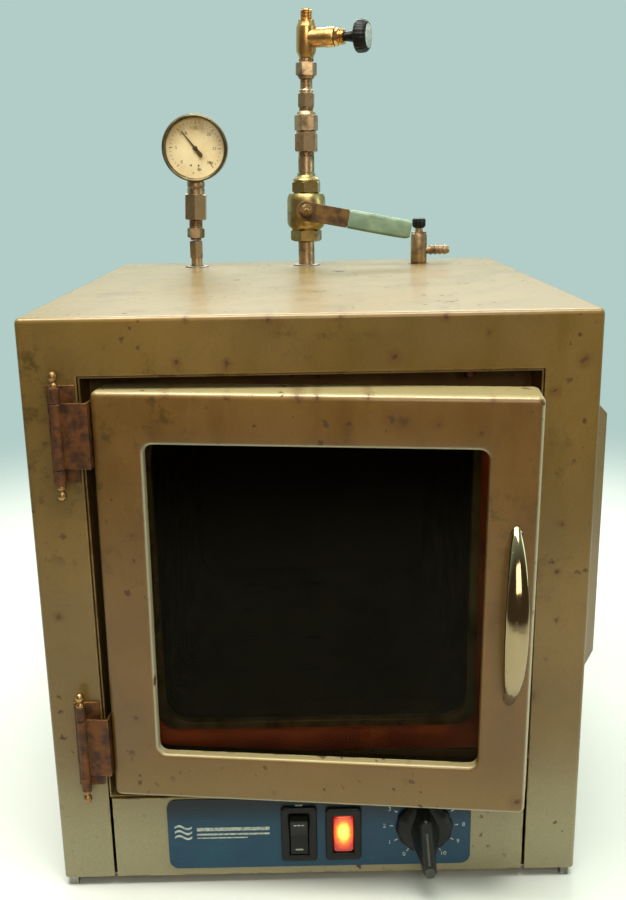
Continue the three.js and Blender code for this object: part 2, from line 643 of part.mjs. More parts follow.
function buildGauge() {
  const { x, foot, lean, radius, depth, centre } = GAUGE;
  const pipe = roofPipe(x, 6, foot - 18);
  const pipeNut = hexagon(15, CABINET.height + foot - 18.5, CABINET.height + foot).translate(x, PORT_Y, 0);
  part('gauge_pipe', join(pipe, pipeNut), LOOKS.oldBrass, oven);
  const stand = fittingGroup(x, foot, lean);
  part('gauge_bushing', join(hexagon(18.6, 3, 21.5), rod(6, 0.7, 4, 12)), LOOKS.oldBrass, stand);
  part('gauge_coupling', hexagon(24.8, 22, 55), LOOKS.oldBrass, stand);
  const dialFront = depth / 2 - 7.5;
  part('gauge_case', gaugeCase(), LOOKS.oldBrass, stand);
  const dial = facingFront(rod(radius - 2.3, dialFront - 1.5, dialFront, 28));
  part('gauge_dial', dial.translate(0, 0, centre), LOOKS.creamDial, stand);
  const needle = part('gauge_needle', gaugeNeedle(), LOOKS.blackPlastic, stand);
  needle.position.set(0, -dialFront - 0.8, centre);
  const lens = facingFront(rod(radius - 2.3, depth / 2 - 4.5, depth / 2 - 2.7, 28));
  part('gauge_lens', lens.translate(0, 0, centre), LOOKS.clearGlass, stand);
  const eye = radius - 2.6;
  const bezel = turned([[eye, depth / 2 - 2.4], [radius + 0.8, depth / 2 - 2.4],
    [radius + 0.8, depth / 2 + 1], [radius - 0.5, depth / 2 + 2.5], [eye, depth / 2 + 1.2],
    [eye, depth / 2 - 2.4]], 28);
  part('gauge_bezel', facingFront(bezel).translate(0, 0, centre), LOOKS.oldBrass, stand);
}

// Heights along the vacuum line, from its foot just above the roof.
const LINE = { bodyLow: 14, stem: 33, bodyHigh: 51, capTop: 64, collarTop: 72, pipeTop: 93,
  unionMiddle: 114, unionTop: 134.5, reducerTop: 155, neckTop: 166, nutTop: 186, valve: 206,
  valveTop: 223.5, tip: 234 };

function ballValveBody() {
  const casting = turned([[0, 13], [16, 13], [18.5, LINE.bodyLow + 1], [20.4, LINE.bodyLow + 5],
    [20.4, LINE.bodyHigh - 5], [18.5, LINE.bodyHigh], [15, LINE.bodyHigh + 1], [0, LINE.bodyHigh + 1]]);
  const lowCap = hexagon(34, 0.6, 13.5);
  const highCap = hexagon(32, LINE.bodyHigh, LINE.capTop);
  const collar = turned([[0, LINE.capTop - 1], [14, LINE.capTop - 1], [14, LINE.capTop + 2],
    [9.5, LINE.collarTop], [0, LINE.collarTop]]);
  const boss = facingFront(rod(9, 10, 26, 16)).translate(0, 0, LINE.stem);
  return join(casting, lowCap, highCap, collar, boss);
}

// The quarter-turn handle: a strip with an eye, its vinyl sleeve and the nut on the stem.
const LEVER = { droop: 10 * DEGREE, eye: 10.5, width: 19, thickness: 2.5, length: 112, gripStart: 45,
  y: -28.2 };

function leverStrip() {
  const shape = new THREE.Shape();
  const half = LEVER.width / 2;
  shape.moveTo(0, -LEVER.eye);
  shape.lineTo(14, -half);
  shape.lineTo(LEVER.gripStart - 1, -half);
  shape.lineTo(LEVER.gripStart, 2 - half);
  shape.lineTo(LEVER.length - 4, 2 - half);
  shape.lineTo(LEVER.length - 4, half - 2);
  shape.lineTo(LEVER.gripStart, half - 2);
  shape.lineTo(LEVER.gripStart - 1, half);
  shape.lineTo(14, half);
  shape.lineTo(0, LEVER.eye);
  shape.absarc(0, 0, LEVER.eye, Math.PI / 2, 1.5 * Math.PI);
  return upright(shape, -LEVER.thickness / 2, LEVER.thickness / 2, 8);
}

function leverGrip() {
  const { gripStart, length, width, thickness } = LEVER;
  const sleeve = new RoundedBoxGeometry(length - gripStart, 8, width + 1, 2, 3)
    .translate((length + gripStart) / 2, 0, 0);
  const slot = thickness / 2 + GAP;
  const half = width / 2 - 2 + GAP;
  return cut(sleeve, box([gripStart - 1, length - 3], [-slot, slot], [-half, half]));
}

function needleValve(stand) {
  const arm = new THREE.Group();
  arm.position.set(0, 0, LINE.valve);
  arm.rotation.z = -19 * DEGREE;
  stand.add(arm);
  const bore = [[0, LINE.nutTop + 0.3], [7.5, LINE.nutTop + 0.3], [10.3, LINE.nutTop + 8],
    [10.3, LINE.valveTop - 6], [8.2, LINE.valveTop], [6.2, LINE.valveTop], [6.2, LINE.tip], [0, LINE.tip]];
  const column = turned(bore).translate(0, 0, -LINE.valve);
  part('needle_valve_body', join(column, facingRight(rod(9.8, 0, 31))), LOOKS.brass, arm);
  const nut = turned([[0, 31.4], [9, 31.4], [9, 33.5], [7, 34.5], [8.6, 35.5], [8.6, 37.5], [6.5, 38.5],
    [7.4, 39.5], [7.4, 41.5], [0, 41.5]]);
  part('packing_nut', facingRight(nut), LOOKS.brass, arm);
  const knob = turned([[0, 42], [4.5, 42], [5.5, 50], [13, 54], [16, 55.5], [16.3, 60], [15, 66],
    [13.5, 67], [0, 67]], 24);
  part('needle_valve_knob', facingRight(knob), LOOKS.blackPlastic, arm);
}

function buildVacuumLine() {
  const { x, foot, lean } = VACUUM;
  part('vacuum_pipe', roofPipe(x, 8.6, foot), LOOKS.oldBrass, oven);
  const stand = fittingGroup(x, foot, lean);
  part('ball_valve_body', ballValveBody(), LOOKS.brass, stand);
  const lever = new THREE.Group();
  lever.position.set(0, LEVER.y, LINE.stem);
  lever.rotation.y = LEVER.droop;
  stand.add(lever);
  part('valve_lever', leverStrip(), LOOKS.rustySteel, lever);
  part('lever_grip', leverGrip(), LOOKS.greenVinyl, lever);
  const nutFace = LEVER.thickness / 2 + GAP;
  part('lever_nut', facingFront(join(rod(7, nutFace, nutFace + 1.2, 16), hexagon(12, nutFace, nutFace + 6),
    rod(3, nutFace, nutFace + 9, 12))), LOOKS.rustySteel, lever);
  part('line_nipple', rod(8.5, LINE.collarTop + GAP, LINE.pipeTop), LOOKS.oldBrass, stand);
  part('union_nut_lower', hexagon(25, LINE.pipeTop + GAP, LINE.unionMiddle), LOOKS.oldBrass, stand);
  part('union_nut_upper', hexagon(25, LINE.unionMiddle + GAP, LINE.unionTop), LOOKS.oldBrass, stand);
  part('line_reducer', join(hexagon(18.5, LINE.unionTop + GAP, LINE.reducerTop),
    rod(6.5, LINE.reducerTop - 1, LINE.neckTop)), LOOKS.oldBrass, stand);
  part('tube_nut', join(hexagon(22, LINE.neckTop + GAP, LINE.nutTop - 3),
    rod(8, LINE.nutTop - 4, LINE.nutTop)), LOOKS.oldBrass, stand);
  needleValve(stand);
}

function buildVentValve() {
  const { x } = VENT;
  part('vent_pipe', roofPipe(x, 6, -CABINET.sheet), LOOKS.oldBrass, oven);
  const stand = fittingGroup(x, 0, 0);
  const body = turned([[0, -1.7], [7, -1.7], [7, 0.6], [8.7, 1], [8.7, 30], [6.5, 33], [4, 33.5], [4, 37],
    [0, 37]]);
  const barb = [[0, 5], [4.2, 5], [4.2, 12]];
  for (let ridge = 0; ridge < 4; ridge += 1) {
    barb.push([5.3, 12 + ridge * 5], [4, 16.5 + ridge * 5]);
  }
  barb.push([3.6, 33], [0, 33]);
  const hoseTail = facingRight(turned(barb, 14)).translate(0, 0, 14);
  part('vent_valve_body', join(body, hoseTail), LOOKS.oldBrass, stand);
  const cap = turned([[0, 37.4], [5, 37.4], [7.2, 39.5], [7.2, 46], [6, 48], [0, 48]], 16);
  part('vent_knob', cap, LOOKS.blackPlastic, stand);
}

buildCabinet();
buildRecess();
buildSideCover();
buildPowerInlet();
buildChamber();
buildControlPlates();
buildControls();
buildDoor();
buildHinges();
buildGauge();
buildVacuumLine();
buildVentValve();

// The origin is the middle of the object's footprint, on the surface that it stands on.
const handleFront = HINGE.y - (HANDLE.x - HINGE.x) * Math.sin(DOOR_AJAR)
  + (DOOR.front - HANDLE.bow - HINGE.y) * Math.cos(DOOR_AJAR);
const vacuumOven = new THREE.Group();
oven.position.set(-COVER.proud / 2, -(handleFront + CABINET.depth + INLET.proud) / 2, RUNNER.height);
vacuumOven.add(oven);

export default vacuumOven;
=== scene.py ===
import math

import bmesh
import bpy
from mathutils import Matrix, Vector


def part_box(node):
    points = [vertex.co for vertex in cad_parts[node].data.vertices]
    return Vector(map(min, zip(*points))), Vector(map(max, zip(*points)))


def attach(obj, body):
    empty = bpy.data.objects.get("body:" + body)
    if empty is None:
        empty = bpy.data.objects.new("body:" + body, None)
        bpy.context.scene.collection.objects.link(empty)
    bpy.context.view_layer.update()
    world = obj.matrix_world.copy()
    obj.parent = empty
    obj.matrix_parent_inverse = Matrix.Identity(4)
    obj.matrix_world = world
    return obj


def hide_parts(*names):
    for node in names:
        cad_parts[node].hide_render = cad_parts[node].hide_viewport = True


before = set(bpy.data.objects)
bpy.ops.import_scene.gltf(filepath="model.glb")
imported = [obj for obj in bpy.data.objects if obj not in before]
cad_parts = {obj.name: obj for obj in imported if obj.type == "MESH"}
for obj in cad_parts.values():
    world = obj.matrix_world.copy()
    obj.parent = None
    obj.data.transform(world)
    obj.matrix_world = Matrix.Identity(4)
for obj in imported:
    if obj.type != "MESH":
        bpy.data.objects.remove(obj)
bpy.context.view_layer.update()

# A bench vacuum oven in worn khaki paint. Solids are given in millimetres in the oven's own frame:
# x = 0 is the cabinet's middle, y = 0 its front face and z = 0 its underside.

# ---- driving dimensions, in millimetres ----

MM = 0.001
GAP = 0.3
CABINET_HEIGHT = 461
HINGE = Vector((-183, -9, 0))
HINGE_HEIGHTS = {"upper": 376.5, "lower": 124.5}
DOOR_AJAR = math.radians(5.7)
DOOR_SAG = math.radians(0.5)
DOOR = {"half_width": 161, "half_height": 164.5, "z": 243, "front": -4, "back": 30, "sheet": 2, "edge": 5}
WINDOW = {"half_width": 124, "half_height": 125.5, "corner": 7, "lip": 8}
HANDLE = {"x": 145, "z": 242.5, "half": 70.5, "half_width": 8.5, "bow": 32, "bar": 7}
LABEL = {"x": 0.5, "z": 39.5, "width": 246, "height": 64, "corner": 8, "front": -1.1}
ROCKER = {"x": -16, "z": 39, "half": 7.2, "reach": 18.8, "tilt": math.radians(8)}
LAMP = {"x": 20, "z": 38.5}
KNOB = {"x": 85.5, "z": 44, "radius": 23, "turn": math.radians(5)}
GASKET = {"inside": 131, "outside": 151, "front": 30.3, "back": 38.1}
COVER = {"face": 222.3, "front": 12, "back": 448, "bottom": 172, "top": 391}
INLET = {"x": -140, "z": 60}
PANEL_BACK = 460
PORT_Y = 405
GAUGE = {"x": -120.6, "foot": 28, "lean": math.radians(2.5), "radius": 33.5, "centre": 96}
LINE = {"x": -1.1, "foot": 25, "lean": math.radians(1), "stem": 33, "arm": 206}
LEVER = {"y": -28.2, "droop": math.radians(10), "length": 112, "grip": 45}
ARM_TURN = math.radians(-19)
VENT_X = 121

# ---- frames ----

UPRIGHT = Matrix()
FACING_FRONT = Matrix.Rotation(math.pi / 2, 4, "X")
FACING_BACK = Matrix.Rotation(-math.pi / 2, 4, "X")
FACING_RIGHT = Matrix.Rotation(math.pi / 2, 4, "Y")


def moved(x=0, y=0, z=0):
    return Matrix.Translation((x, y, z))


def oven_frame():
    """The oven's own frame, in millimetres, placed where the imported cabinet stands."""
    low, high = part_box("cabinet_shell")
    return Matrix.Translation(((low.x + high.x) / 2, low.y, low.z)) @ Matrix.Scale(MM, 4)


OVEN = oven_frame()
SWING_FRAME = OVEN @ moved(*HINGE) @ Matrix.Rotation(-DOOR_AJAR, 4, "Z") @ moved(*-HINGE)
DOOR_FRAME = SWING_FRAME @ moved(z=DOOR["z"]) @ Matrix.Rotation(DOOR_SAG, 4, "Y") @ moved(z=-DOOR["z"])


def stand_frame(x, foot, lean):
    return OVEN @ moved(x, PORT_Y, CABINET_HEIGHT + foot) @ Matrix.Rotation(lean, 4, "Y")


GAUGE_FRAME = stand_frame(GAUGE["x"], GAUGE["foot"], GAUGE["lean"])
LINE_FRAME = stand_frame(LINE["x"], LINE["foot"], LINE["lean"])
VENT_FRAME = stand_frame(VENT_X, 0, 0)
LEVER_FRAME = LINE_FRAME @ moved(0, LEVER["y"], LINE["stem"]) @ Matrix.Rotation(LEVER["droop"], 4, "Y")
ARM_FRAME = LINE_FRAME @ moved(0, 0, LINE["arm"]) @ Matrix.Rotation(ARM_TURN, 4, "Z") @ FACING_RIGHT
GAUGE_FACE = GAUGE_FRAME @ moved(z=GAUGE["centre"]) @ FACING_FRONT

# ---- solids: (points, faces) in millimetres ----


def arc(x, y, radius, start, end, steps):
    """Points from one angle to another, in degrees."""
    angles = [math.radians(start + (end - start) * i / steps) for i in range(steps + 1)]
    return [(x + radius * math.cos(a), y + radius * math.sin(a)) for a in angles]


def rounded_rectangle(half_width, half_height, corner, steps=6):
    x = half_width - corner
    y = half_height - corner
    places = [(x, y, 0), (-x, y, 90), (-x, -y, 180), (x, -y, 270)]
    return [p for cx, cy, start in places for p in arc(cx, cy, corner, start, start + 90, steps)]


def shifted(outline, x, z):
    return [(x + px, z + pz) for px, pz in outline]


def loft(rings, closed=False, caps=True):
    """Joins rings of points that match one to one."""
    count = len(rings[0])
    points = [p for ring in rings for p in ring]
    faces = []
    pairs = len(rings) if closed else len(rings) - 1
    for r in range(pairs):
        here = r * count
        there = (r + 1) % len(rings) * count
        for i in range(count):
            j = (i + 1) % count
            faces.append((here + i, here + j, there + j, there + i))
    if caps and not closed:
        last = (len(rings) - 1) * count
        faces.append(tuple(range(count - 1, -1, -1)))
        faces.append(tuple(range(last, last + count)))
    return points, faces


def standing(outline, y):
    """An (x, z) outline as points at one depth."""
    return [(px, y, pz) for px, pz in outline]


def prism(outline, y0, y1):
    return loft([standing(outline, y0), standing(outline, y1)])


def pillow(outline_at, y0, y1, edge, steps=3):
    """An upright slab whose front and back edges are rounded; outline_at(inset) gives its outline."""
    front = [(edge - px, y0 + edge - py) for px, py in arc(0, 0, edge, 90, 0, steps)]
    back = [(inset, y1 - (depth - y0)) for inset, depth in reversed(front)]
    return loft([standing(outline_at(inset), y) for inset, y in front + back])


def ring_frame(sections, x=0, z=0):
    """A closed frame of rounded rectangles, one for each (half width, half height, corner, depth)."""
    rings = []
    for half_width, half_height, corner, y in sections:
        outline = rounded_rectangle(half_width, half_height, max(corner, 0.3))
        rings.append([(x + px, y, z + pz) for px, pz in outline])
    return loft(rings, closed=True)


def turned(profile, sides=48, waves=0, depth=0.0, closed=False):
    """A solid of revolution about +Z from (radius, height) pairs; waves and depth flute its side.

    A closed profile goes back to its first point, which leaves a bore through the solid.
    """
    points, rings, faces = [], [], []
    for radius, height in profile:
        if radius < 1e-6:
            rings.append([len(points)])
            points.append((0, 0, height))
            continue
        first = len(points)
        for i in range(sides):
            angle = 2 * math.pi * i / sides
            r = radius - depth * (0.5 - 0.5 * math.cos(waves * angle))
            points.append((r * math.cos(angle), r * math.sin(angle), height))
        rings.append(list(range(first, first + sides)))
    for low, high in zip(rings, rings[1:] + (rings[:1] if closed else [])):
        if len(low) == len(high) == 1:
            continue
        for i in range(sides):
            j = (i + 1) % sides
            if len(low) == 1:
                faces.append((low[0], high[j], high[i]))
            elif len(high) == 1:
                faces.append((low[i], low[j], high[0]))
            else:
                faces.append((low[i], low[j], high[j], high[i]))
    return points, faces


def hexagon(width, z0, z1, top=True, bottom=True, start=0):
    """A chamfered hexagon about +Z; width is its size across the corners."""
    inside = width / 2 * math.cos(math.pi / 6)
    land = inside * 0.93
    steps = 8

    def rim(z, side):
        ring = []
        for i in range(6 * steps):
            angle = math.radians(60 * i / steps)
            radius = inside / math.cos(angle % (math.pi / 3) - math.pi / 6)
            drop = (radius - land) * 0.5 if side else 0
            ring.append((radius * math.cos(angle + start), radius * math.sin(angle + start), z - side * drop))
        return ring

    def circle(z):
        angles = [math.radians(60 * i / steps) + start for i in range(6 * steps)]
        return [(land * math.cos(a), land * math.sin(a), z) for a in angles]

    rings = [circle(z0), rim(z0, -1)] if bottom else [rim(z0, 0)]
    rings += [rim(z1, 1), circle(z1)] if top else [rim(z1, 0)]
    return loft(rings)


def thread(radius, z0, z1, pitch=1.6, depth=0.8):
    """Thread-like ridges on a rod about +Z."""
    count = max(1, round((z1 - z0) / pitch))
    pitch = (z1 - z0) / count
    profile = [(0, z0), (radius - depth, z0)]
    for turn in range(count):
        middle = z0 + (turn + 0.5) * pitch
        profile += [(radius, middle - 0.15 * pitch), (radius, middle + 0.15 * pitch),
                    (radius - depth, z0 + (turn + 1) * pitch)]
    return turned(profile + [(0, z1)], 32)


def tube(path, radius, sides=14):
    """A round bar along a list of points, its ends closed."""
    points = [Vector(p) for p in path]
    rings = []
    across = None
    for i, point in enumerate(points):
        ahead = (points[min(i + 1, len(points) - 1)] - points[max(i - 1, 0)]).normalized()
        guess = across or (Vector((1, 0, 0)) if abs(ahead.x) < 0.9 else Vector((0, 0, 1)))
        across = (guess - ahead * guess.dot(ahead)).normalized()
        up = ahead.cross(across)
        angles = [2 * math.pi * k / sides for k in range(sides)]
        rings.append([tuple(point + radius * (math.cos(a) * across + math.sin(a) * up)) for a in angles])
    return loft(rings)


def box(x0, x1, y0, y1, z0, z1):
    return loft([[(x0, y0, z), (x1, y0, z), (x1, y1, z), (x0, y1, z)] for z in (z0, z1)])


# ---- pieces ----


class Piece:
    """One visible piece: solids gathered in millimetres, then made, placed and given its finish."""

    def __init__(self, name, body, place=OVEN):
        self.name = name
        self.body = body
        self.place = place
        self.mesh = bmesh.new()

    def add(self, solid, turn=UPRIGHT, look=0):
        points, faces = solid
        corners = [self.mesh.verts.new(self.place @ turn @ Vector(p)) for p in points]
        for face in faces:
            self.mesh.faces.new([corners[i] for i in face]).material_index = look
        return self

    def add_node(self, node):
        """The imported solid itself, its split corners joined and its flat faces merged."""
        self.mesh.from_mesh(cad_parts[node].data)
        bmesh.ops.remove_doubles(self.mesh, verts=self.mesh.verts, dist=0.01 * MM)
        bmesh.ops.dissolve_limit(self.mesh, angle_limit=math.radians(0.4),
                                 verts=self.mesh.verts, edges=self.mesh.edges)
        return self

    def finish(self, *looks, replaces=(), slot=None, bevel=0.0, segments=2, sharp=32):
        bmesh.ops.recalc_face_normals(self.mesh, faces=self.mesh.faces)
        data = bpy.data.meshes.new(self.name)
        self.mesh.to_mesh(data)
        self.mesh.free()
        piece = bpy.data.objects.new(self.name, data)
        bpy.context.scene.collection.objects.link(piece)
        for look in looks:
            data.materials.append(look)
        data.polygons.foreach_set("use_smooth", [True] * len(data.polygons))
        if bevel:
            rounding = piece.modifiers.new("edges", "BEVEL")
            rounding.width = bevel * MM
            rounding.segments = segments
            rounding.limit_method = "ANGLE"
            rounding.angle_limit = math.radians(sharp)
            rounding.use_clamp_overlap = True
            shading = piece.modifiers.new("shading", "WEIGHTED_NORMAL")
            shading.keep_sharp = False
        else:
            data.set_sharp_from_angle(angle=math.radians(sharp))
        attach(piece, self.body)
        if replaces:
            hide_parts(*replaces)
        return piece


def dress(node, name, body, look, slot, **edges):
    """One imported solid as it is, with its finish and softened edges."""
    Piece(name, body).add_node(node).finish(look, replaces=[node], slot=slot, **edges)


# ---- materials ----


class Shader:
    """A node material around one Principled BSDF, with short calls for the nodes it needs."""

    def __init__(self, name, **settings):
        self.material = bpy.data.materials.new(name)
        self.material.use_nodes = True
        self.tree = self.material.node_tree
        self.surface = self.tree.nodes["Principled BSDF"]
        for key, value in settings.items():
            self.surface.inputs[key.replace("_", " ")].default_value = value
        self.place = self.make("ShaderNodeTexCoord").outputs["Object"]

    def make(self, kind, **settings):
        node = self.tree.nodes.new(kind)
        for key, value in settings.items():
            setattr(node, key, value)
        return node

    def feed(self, socket, value):
        if isinstance(value, bpy.types.NodeSocket):
            self.tree.links.new(value, socket)
        else:
            socket.default_value = value

    def set(self, name, value):
        self.feed(self.surface.inputs[name], value)

    def stretched(self, x, y, z):
        node = self.make("ShaderNodeMapping")
        self.feed(node.inputs["Vector"], self.place)
        node.inputs["Scale"].default_value = (x, y, z)
        return node.outputs["Vector"]

    def noise(self, scale, detail=3.0, roughness=0.55, place=None, warp=0.0):
        node = self.make("ShaderNodeTexNoise")
        self.feed(node.inputs["Vector"], place or self.place)
        node.inputs["Scale"].default_value = scale
        node.inputs["Detail"].default_value = detail
        node.inputs["Roughness"].default_value = roughness
        node.inputs["Distortion"].default_value = warp
        return node.outputs["Fac"]

    def math(self, operation, a, b=0.0):
        node = self.make("ShaderNodeMath", operation=operation)
        self.feed(node.inputs[0], a)
        self.feed(node.inputs[1], b)
        return node.outputs["Value"]

    def times(self, a, b):
        return self.math("MULTIPLY", a, b)

    def ease(self, value, low, high):
        """0 below low and 1 above high, or the other way round where low is the larger."""
        node = self.make("ShaderNodeMapRange", interpolation_type="SMOOTHSTEP")
        flip = low > high
        self.feed(node.inputs["Value"], value)
        node.inputs["From Min"].default_value = min(low, high)
        node.inputs["From Max"].default_value = max(low, high)
        node.inputs["To Min"].default_value = 1.0 if flip else 0.0
        node.inputs["To Max"].default_value = 0.0 if flip else 1.0
        return node.outputs["Result"]

    def mix(self, factor, a, b):
        node = self.make("ShaderNodeMix", data_type="RGBA")
        self.feed(node.inputs[0], factor)
        for socket, value in ((node.inputs[6], a), (node.inputs[7], b)):
            self.feed(socket, value if isinstance(value, bpy.types.NodeSocket) else colour(value))
        return node.outputs[2]

    def blend(self, factor, a, b):
        """A number between a and b."""
        node = self.make("ShaderNodeMix", data_type="FLOAT")
        self.feed(node.inputs[0], factor)
        self.feed(node.inputs[2], a)
        self.feed(node.inputs[3], b)
        return node.outputs[0]

    def along(self, axis):
        node = self.make("ShaderNodeSeparateXYZ")
        self.feed(node.inputs[0], self.place)
        return node.outputs[axis]

    def ragged(self, scale):
        """The surface's place, pushed about by noise so that round cells get uneven rims."""
        push = self.make("ShaderNodeTexNoise")
        self.feed(push.inputs["Vector"], self.place)
        push.inputs["Scale"].default_value = scale * 2.2
        push.inputs["Detail"].default_value = 3.0
        centred = self.make("ShaderNodeVectorMath", operation="SUBTRACT")
        self.feed(centred.inputs[0], push.outputs["Color"])
        centred.inputs[1].default_value = (0.5, 0.5, 0.5)
        moved_place = self.make("ShaderNodeVectorMath", operation="MULTIPLY_ADD")
        self.feed(moved_place.inputs[0], centred.outputs[0])
        moved_place.inputs[1].default_value = (0.9 / scale,) * 3
        self.feed(moved_place.inputs[2], self.place)
        return moved_place.outputs[0]

    def specks(self, scale, rarity, largest=0.42):
        """Scattered round specks of many sizes; a larger rarity leaves fewer large ones."""
        cells = self.make("ShaderNodeTexVoronoi")
        self.feed(cells.inputs["Vector"], self.ragged(scale))
        cells.inputs["Scale"].default_value = scale
        chance = self.make("ShaderNodeSeparateColor")
        self.feed(chance.inputs[0], cells.outputs["Color"])
        size = self.times(self.math("POWER", chance.outputs[0], rarity), largest)
        ragged = self.times(self.noise(scale * 5, 2), 0.14)
        depth = self.math("SUBTRACT", self.math("SUBTRACT", size, cells.outputs["Distance"]), ragged)
        return self.ease(depth, -0.08, 0.04)

    def spots(self, places):
        """Rust spots at chosen places on the front: their ragged cores and the wider stain around them."""
        split = self.make("ShaderNodeSeparateXYZ")
        self.feed(split.inputs[0], self.place)
        ragged = self.times(self.math("SUBTRACT", self.noise(230, 5, 0.7), 0.5), 11 * MM)
        front = self.ease(split.outputs["Y"], (OVEN @ Vector((0, 40, 0))).y, (OVEN @ Vector((0, 30, 0))).y)
        core, ring = 0.0, 0.0
        for x, z, radius in places:
            spot = OVEN @ Vector((x, 0, z))
            across = self.math("POWER", self.math("SUBTRACT", split.outputs["X"], spot.x), 2.0)
            up = self.math("POWER", self.math("SUBTRACT", split.outputs["Z"], spot.z), 2.0)
            away = self.math("ADD", self.math("SQRT", self.math("ADD", across, up)), ragged)
            core = self.math("MAXIMUM", core, self.ease(away, radius * MM, 0.1 * radius * MM))
            ring = self.math("MAXIMUM", ring, self.ease(away, 2.8 * radius * MM, 0.3 * radius * MM))
        return self.times(core, front), self.times(ring, front)

    def edges(self, radius):
        """How far the surface bends near here, broken up by a ragged noise: about 0.1 or more on an edge."""
        bevel = self.make("ShaderNodeBevel", samples=4)
        bevel.inputs["Radius"].default_value = radius * MM
        shape = self.make("ShaderNodeNewGeometry")
        turn = self.make("ShaderNodeVectorMath", operation="DOT_PRODUCT")
        self.feed(turn.inputs[0], bevel.outputs["Normal"])
        self.feed(turn.inputs[1], shape.outputs["Normal"])
        bent = self.math("SUBTRACT", 1.0, turn.outputs["Value"])
        return self.times(bent, self.noise(260, 3))

    def bump(self, height, distance, strength=1.0, below=None):
        node = self.make("ShaderNodeBump")
        node.inputs["Distance"].default_value = distance * MM
        node.inputs["Strength"].default_value = strength
        self.feed(node.inputs["Height"], height)
        if below is not None:
            self.feed(node.inputs["Normal"], below)
        self.set("Normal", node.outputs["Normal"])
        return node.outputs["Normal"]


def colour(value):
    """Linear colour from sRGB bytes."""
    linear = [c / 255 / 12.92 if c <= 10 else ((c / 255 + 0.055) / 1.055) ** 2.4 for c in value]
    return (*linear, 1.0)


BLOTCH = (66, 48, 10)
RUST = (92, 60, 18)
DARK_RUST = (46, 32, 10)
# pale tone for the painted edge light on the door's lower and right edges
PAINTED_EDGE_LIGHT = (176, 174, 142)


# Rust spots as (x, z, radius), in millimetres, on the front faces of the cabinet and the door.
CABINET_SPOTS = [(196, 424, 3.2), (176, 402, 2.6), (186, 300, 1.8), (184, 262, 2.0), (186, 222, 1.6),
                 (170, 158, 3.4), (-196, 232, 2.4), (-60, 426, 3.0), (-96, 428, 2.4), (60, 428, 3.6),
                 (128, 446, 2.4), (-30, 457, 2.2), (-88, 458, 1.6), (22, 458, 1.8), (96, 457, 2.4)]
DOOR_SPOTS = [(64, 388, 6.5), (56, 390, 4.0), (88, 386, 2.6), (152, 88, 3.4), (-10, 404, 3.0),
              (4, 404, 2.0), (-140, 150, 2.2), (118, 380, 2.2), (-60, 404, 1.8), (-134, 300, 1.6),
              (-104, 405, 2.0), (40, 404, 2.2), (126, 402, 1.8)]


def worn_paint(name, upper, lower, stain, dust_and_top_light, floor_reflection_fade, spots, rim=0.0):
    """Semi-gloss paint on steel: stained walls, a top partly dust and partly painted light, a foot greyed by
    a painted reflection of the pale floor, and rust at its edges.

    A rim above 0 pales the edges that face down or to the right: a painted reflection of the pale floor below
    and a painted highlight on the right.
    """
    s = Shader(name, Metallic=0.15, Specular_IOR_Level=0.36, Coat_Weight=0.3, Coat_Roughness=0.14)
    patches = s.noise(7, 5, 0.6)
    paint = s.mix(s.ease(patches, 0.3, 0.7), upper, tuple(c * 0.84 for c in upper))
    # painted reflection: the paint turns to the lower tone towards the foot, as if it mirrored the pale floor
    paint = s.mix(s.ease(s.along("Z"), *floor_reflection_fade), paint, lower)
    facing = s.make("ShaderNodeSeparateXYZ")
    s.feed(facing.inputs[0], s.make("ShaderNodeTexCoord").outputs["Normal"])
    wall = s.ease(facing.outputs["Z"], 0.8, 0.3)
    high = s.times(wall, s.ease(s.along("Z"), 0.16, 0.40))
    streaks = s.ease(s.noise(16, 5, 0.6, place=s.stretched(1.6, 1.6, 0.5)), 0.46, 0.70)
    paint = s.mix(s.times(s.times(streaks, high), 0.7), paint, stain)
    regions = s.ease(s.noise(9, 3), 0.46, 0.60)
    blotches = s.times(s.ease(s.noise(85, 6, 0.7), 0.50, 0.66), regions)
    paint = s.mix(s.times(s.times(blotches, high), 0.75), paint, BLOTCH)
    # partly dust and partly painted light: faces that look up turn to the paler dust tone, brightest on the
    # door
    paint = s.mix(s.ease(facing.outputs["Z"], 0.35, 0.9), paint, dust_and_top_light)
    # painted light: edges that face down or to the right are paled by the rim amount
    if rim:
        under = s.ease(facing.outputs["Z"], -0.2, -0.7)
        right = s.ease(facing.outputs["X"], 0.25, 0.75)
        paint = s.mix(s.times(s.math("MAXIMUM", under, right), rim), paint, PAINTED_EDGE_LIGHT)
    grain = s.noise(900, 2)
    paint = s.mix(s.times(s.ease(grain, 0.35, 0.75), 0.16), paint, (60, 48, 20))
    bent = s.edges(2.4)
    rubbed = s.times(s.ease(bent, 0.02, 0.07), 0.45)
    paint = s.mix(rubbed, paint, tuple(min(255, c * 1.4) for c in dust_and_top_light))
    clusters = s.ease(s.noise(11, 3), 0.44, 0.60)
    small = s.times(s.specks(150, 5, 0.45), clusters)
    large = s.times(s.specks(40, 9, 0.40), clusters)
    chips = s.times(s.ease(bent, 0.035, 0.10), s.ease(s.noise(75, 3), 0.50, 0.60))
    core, ring = s.spots(spots)
    rusted = s.math("MAXIMUM", s.math("MAXIMUM", small, large), s.math("MAXIMUM", chips, core))
    halo = s.math("MAXIMUM", s.times(s.specks(30, 8, 0.6), 0.35), s.times(ring, 0.6))
    paint = s.mix(halo, paint, RUST)
    s.set("Base Color", s.mix(rusted, paint, s.mix(grain, DARK_RUST, RUST)))
    s.set("Metallic", s.blend(rusted, 0.15, 0.0))
    gloss = s.blend(s.ease(s.noise(26, 4), 0.3, 0.7), 0.34, 0.46)
    s.set("Roughness", s.blend(rusted, gloss, 0.85))
    dents = s.bump(s.noise(9, 2), 1.2, 0.35)
    peel = s.bump(s.noise(520, 2), 0.10, 0.5, below=dents)
    s.bump(rusted, -0.15, 0.6, below=peel)
    return s.material


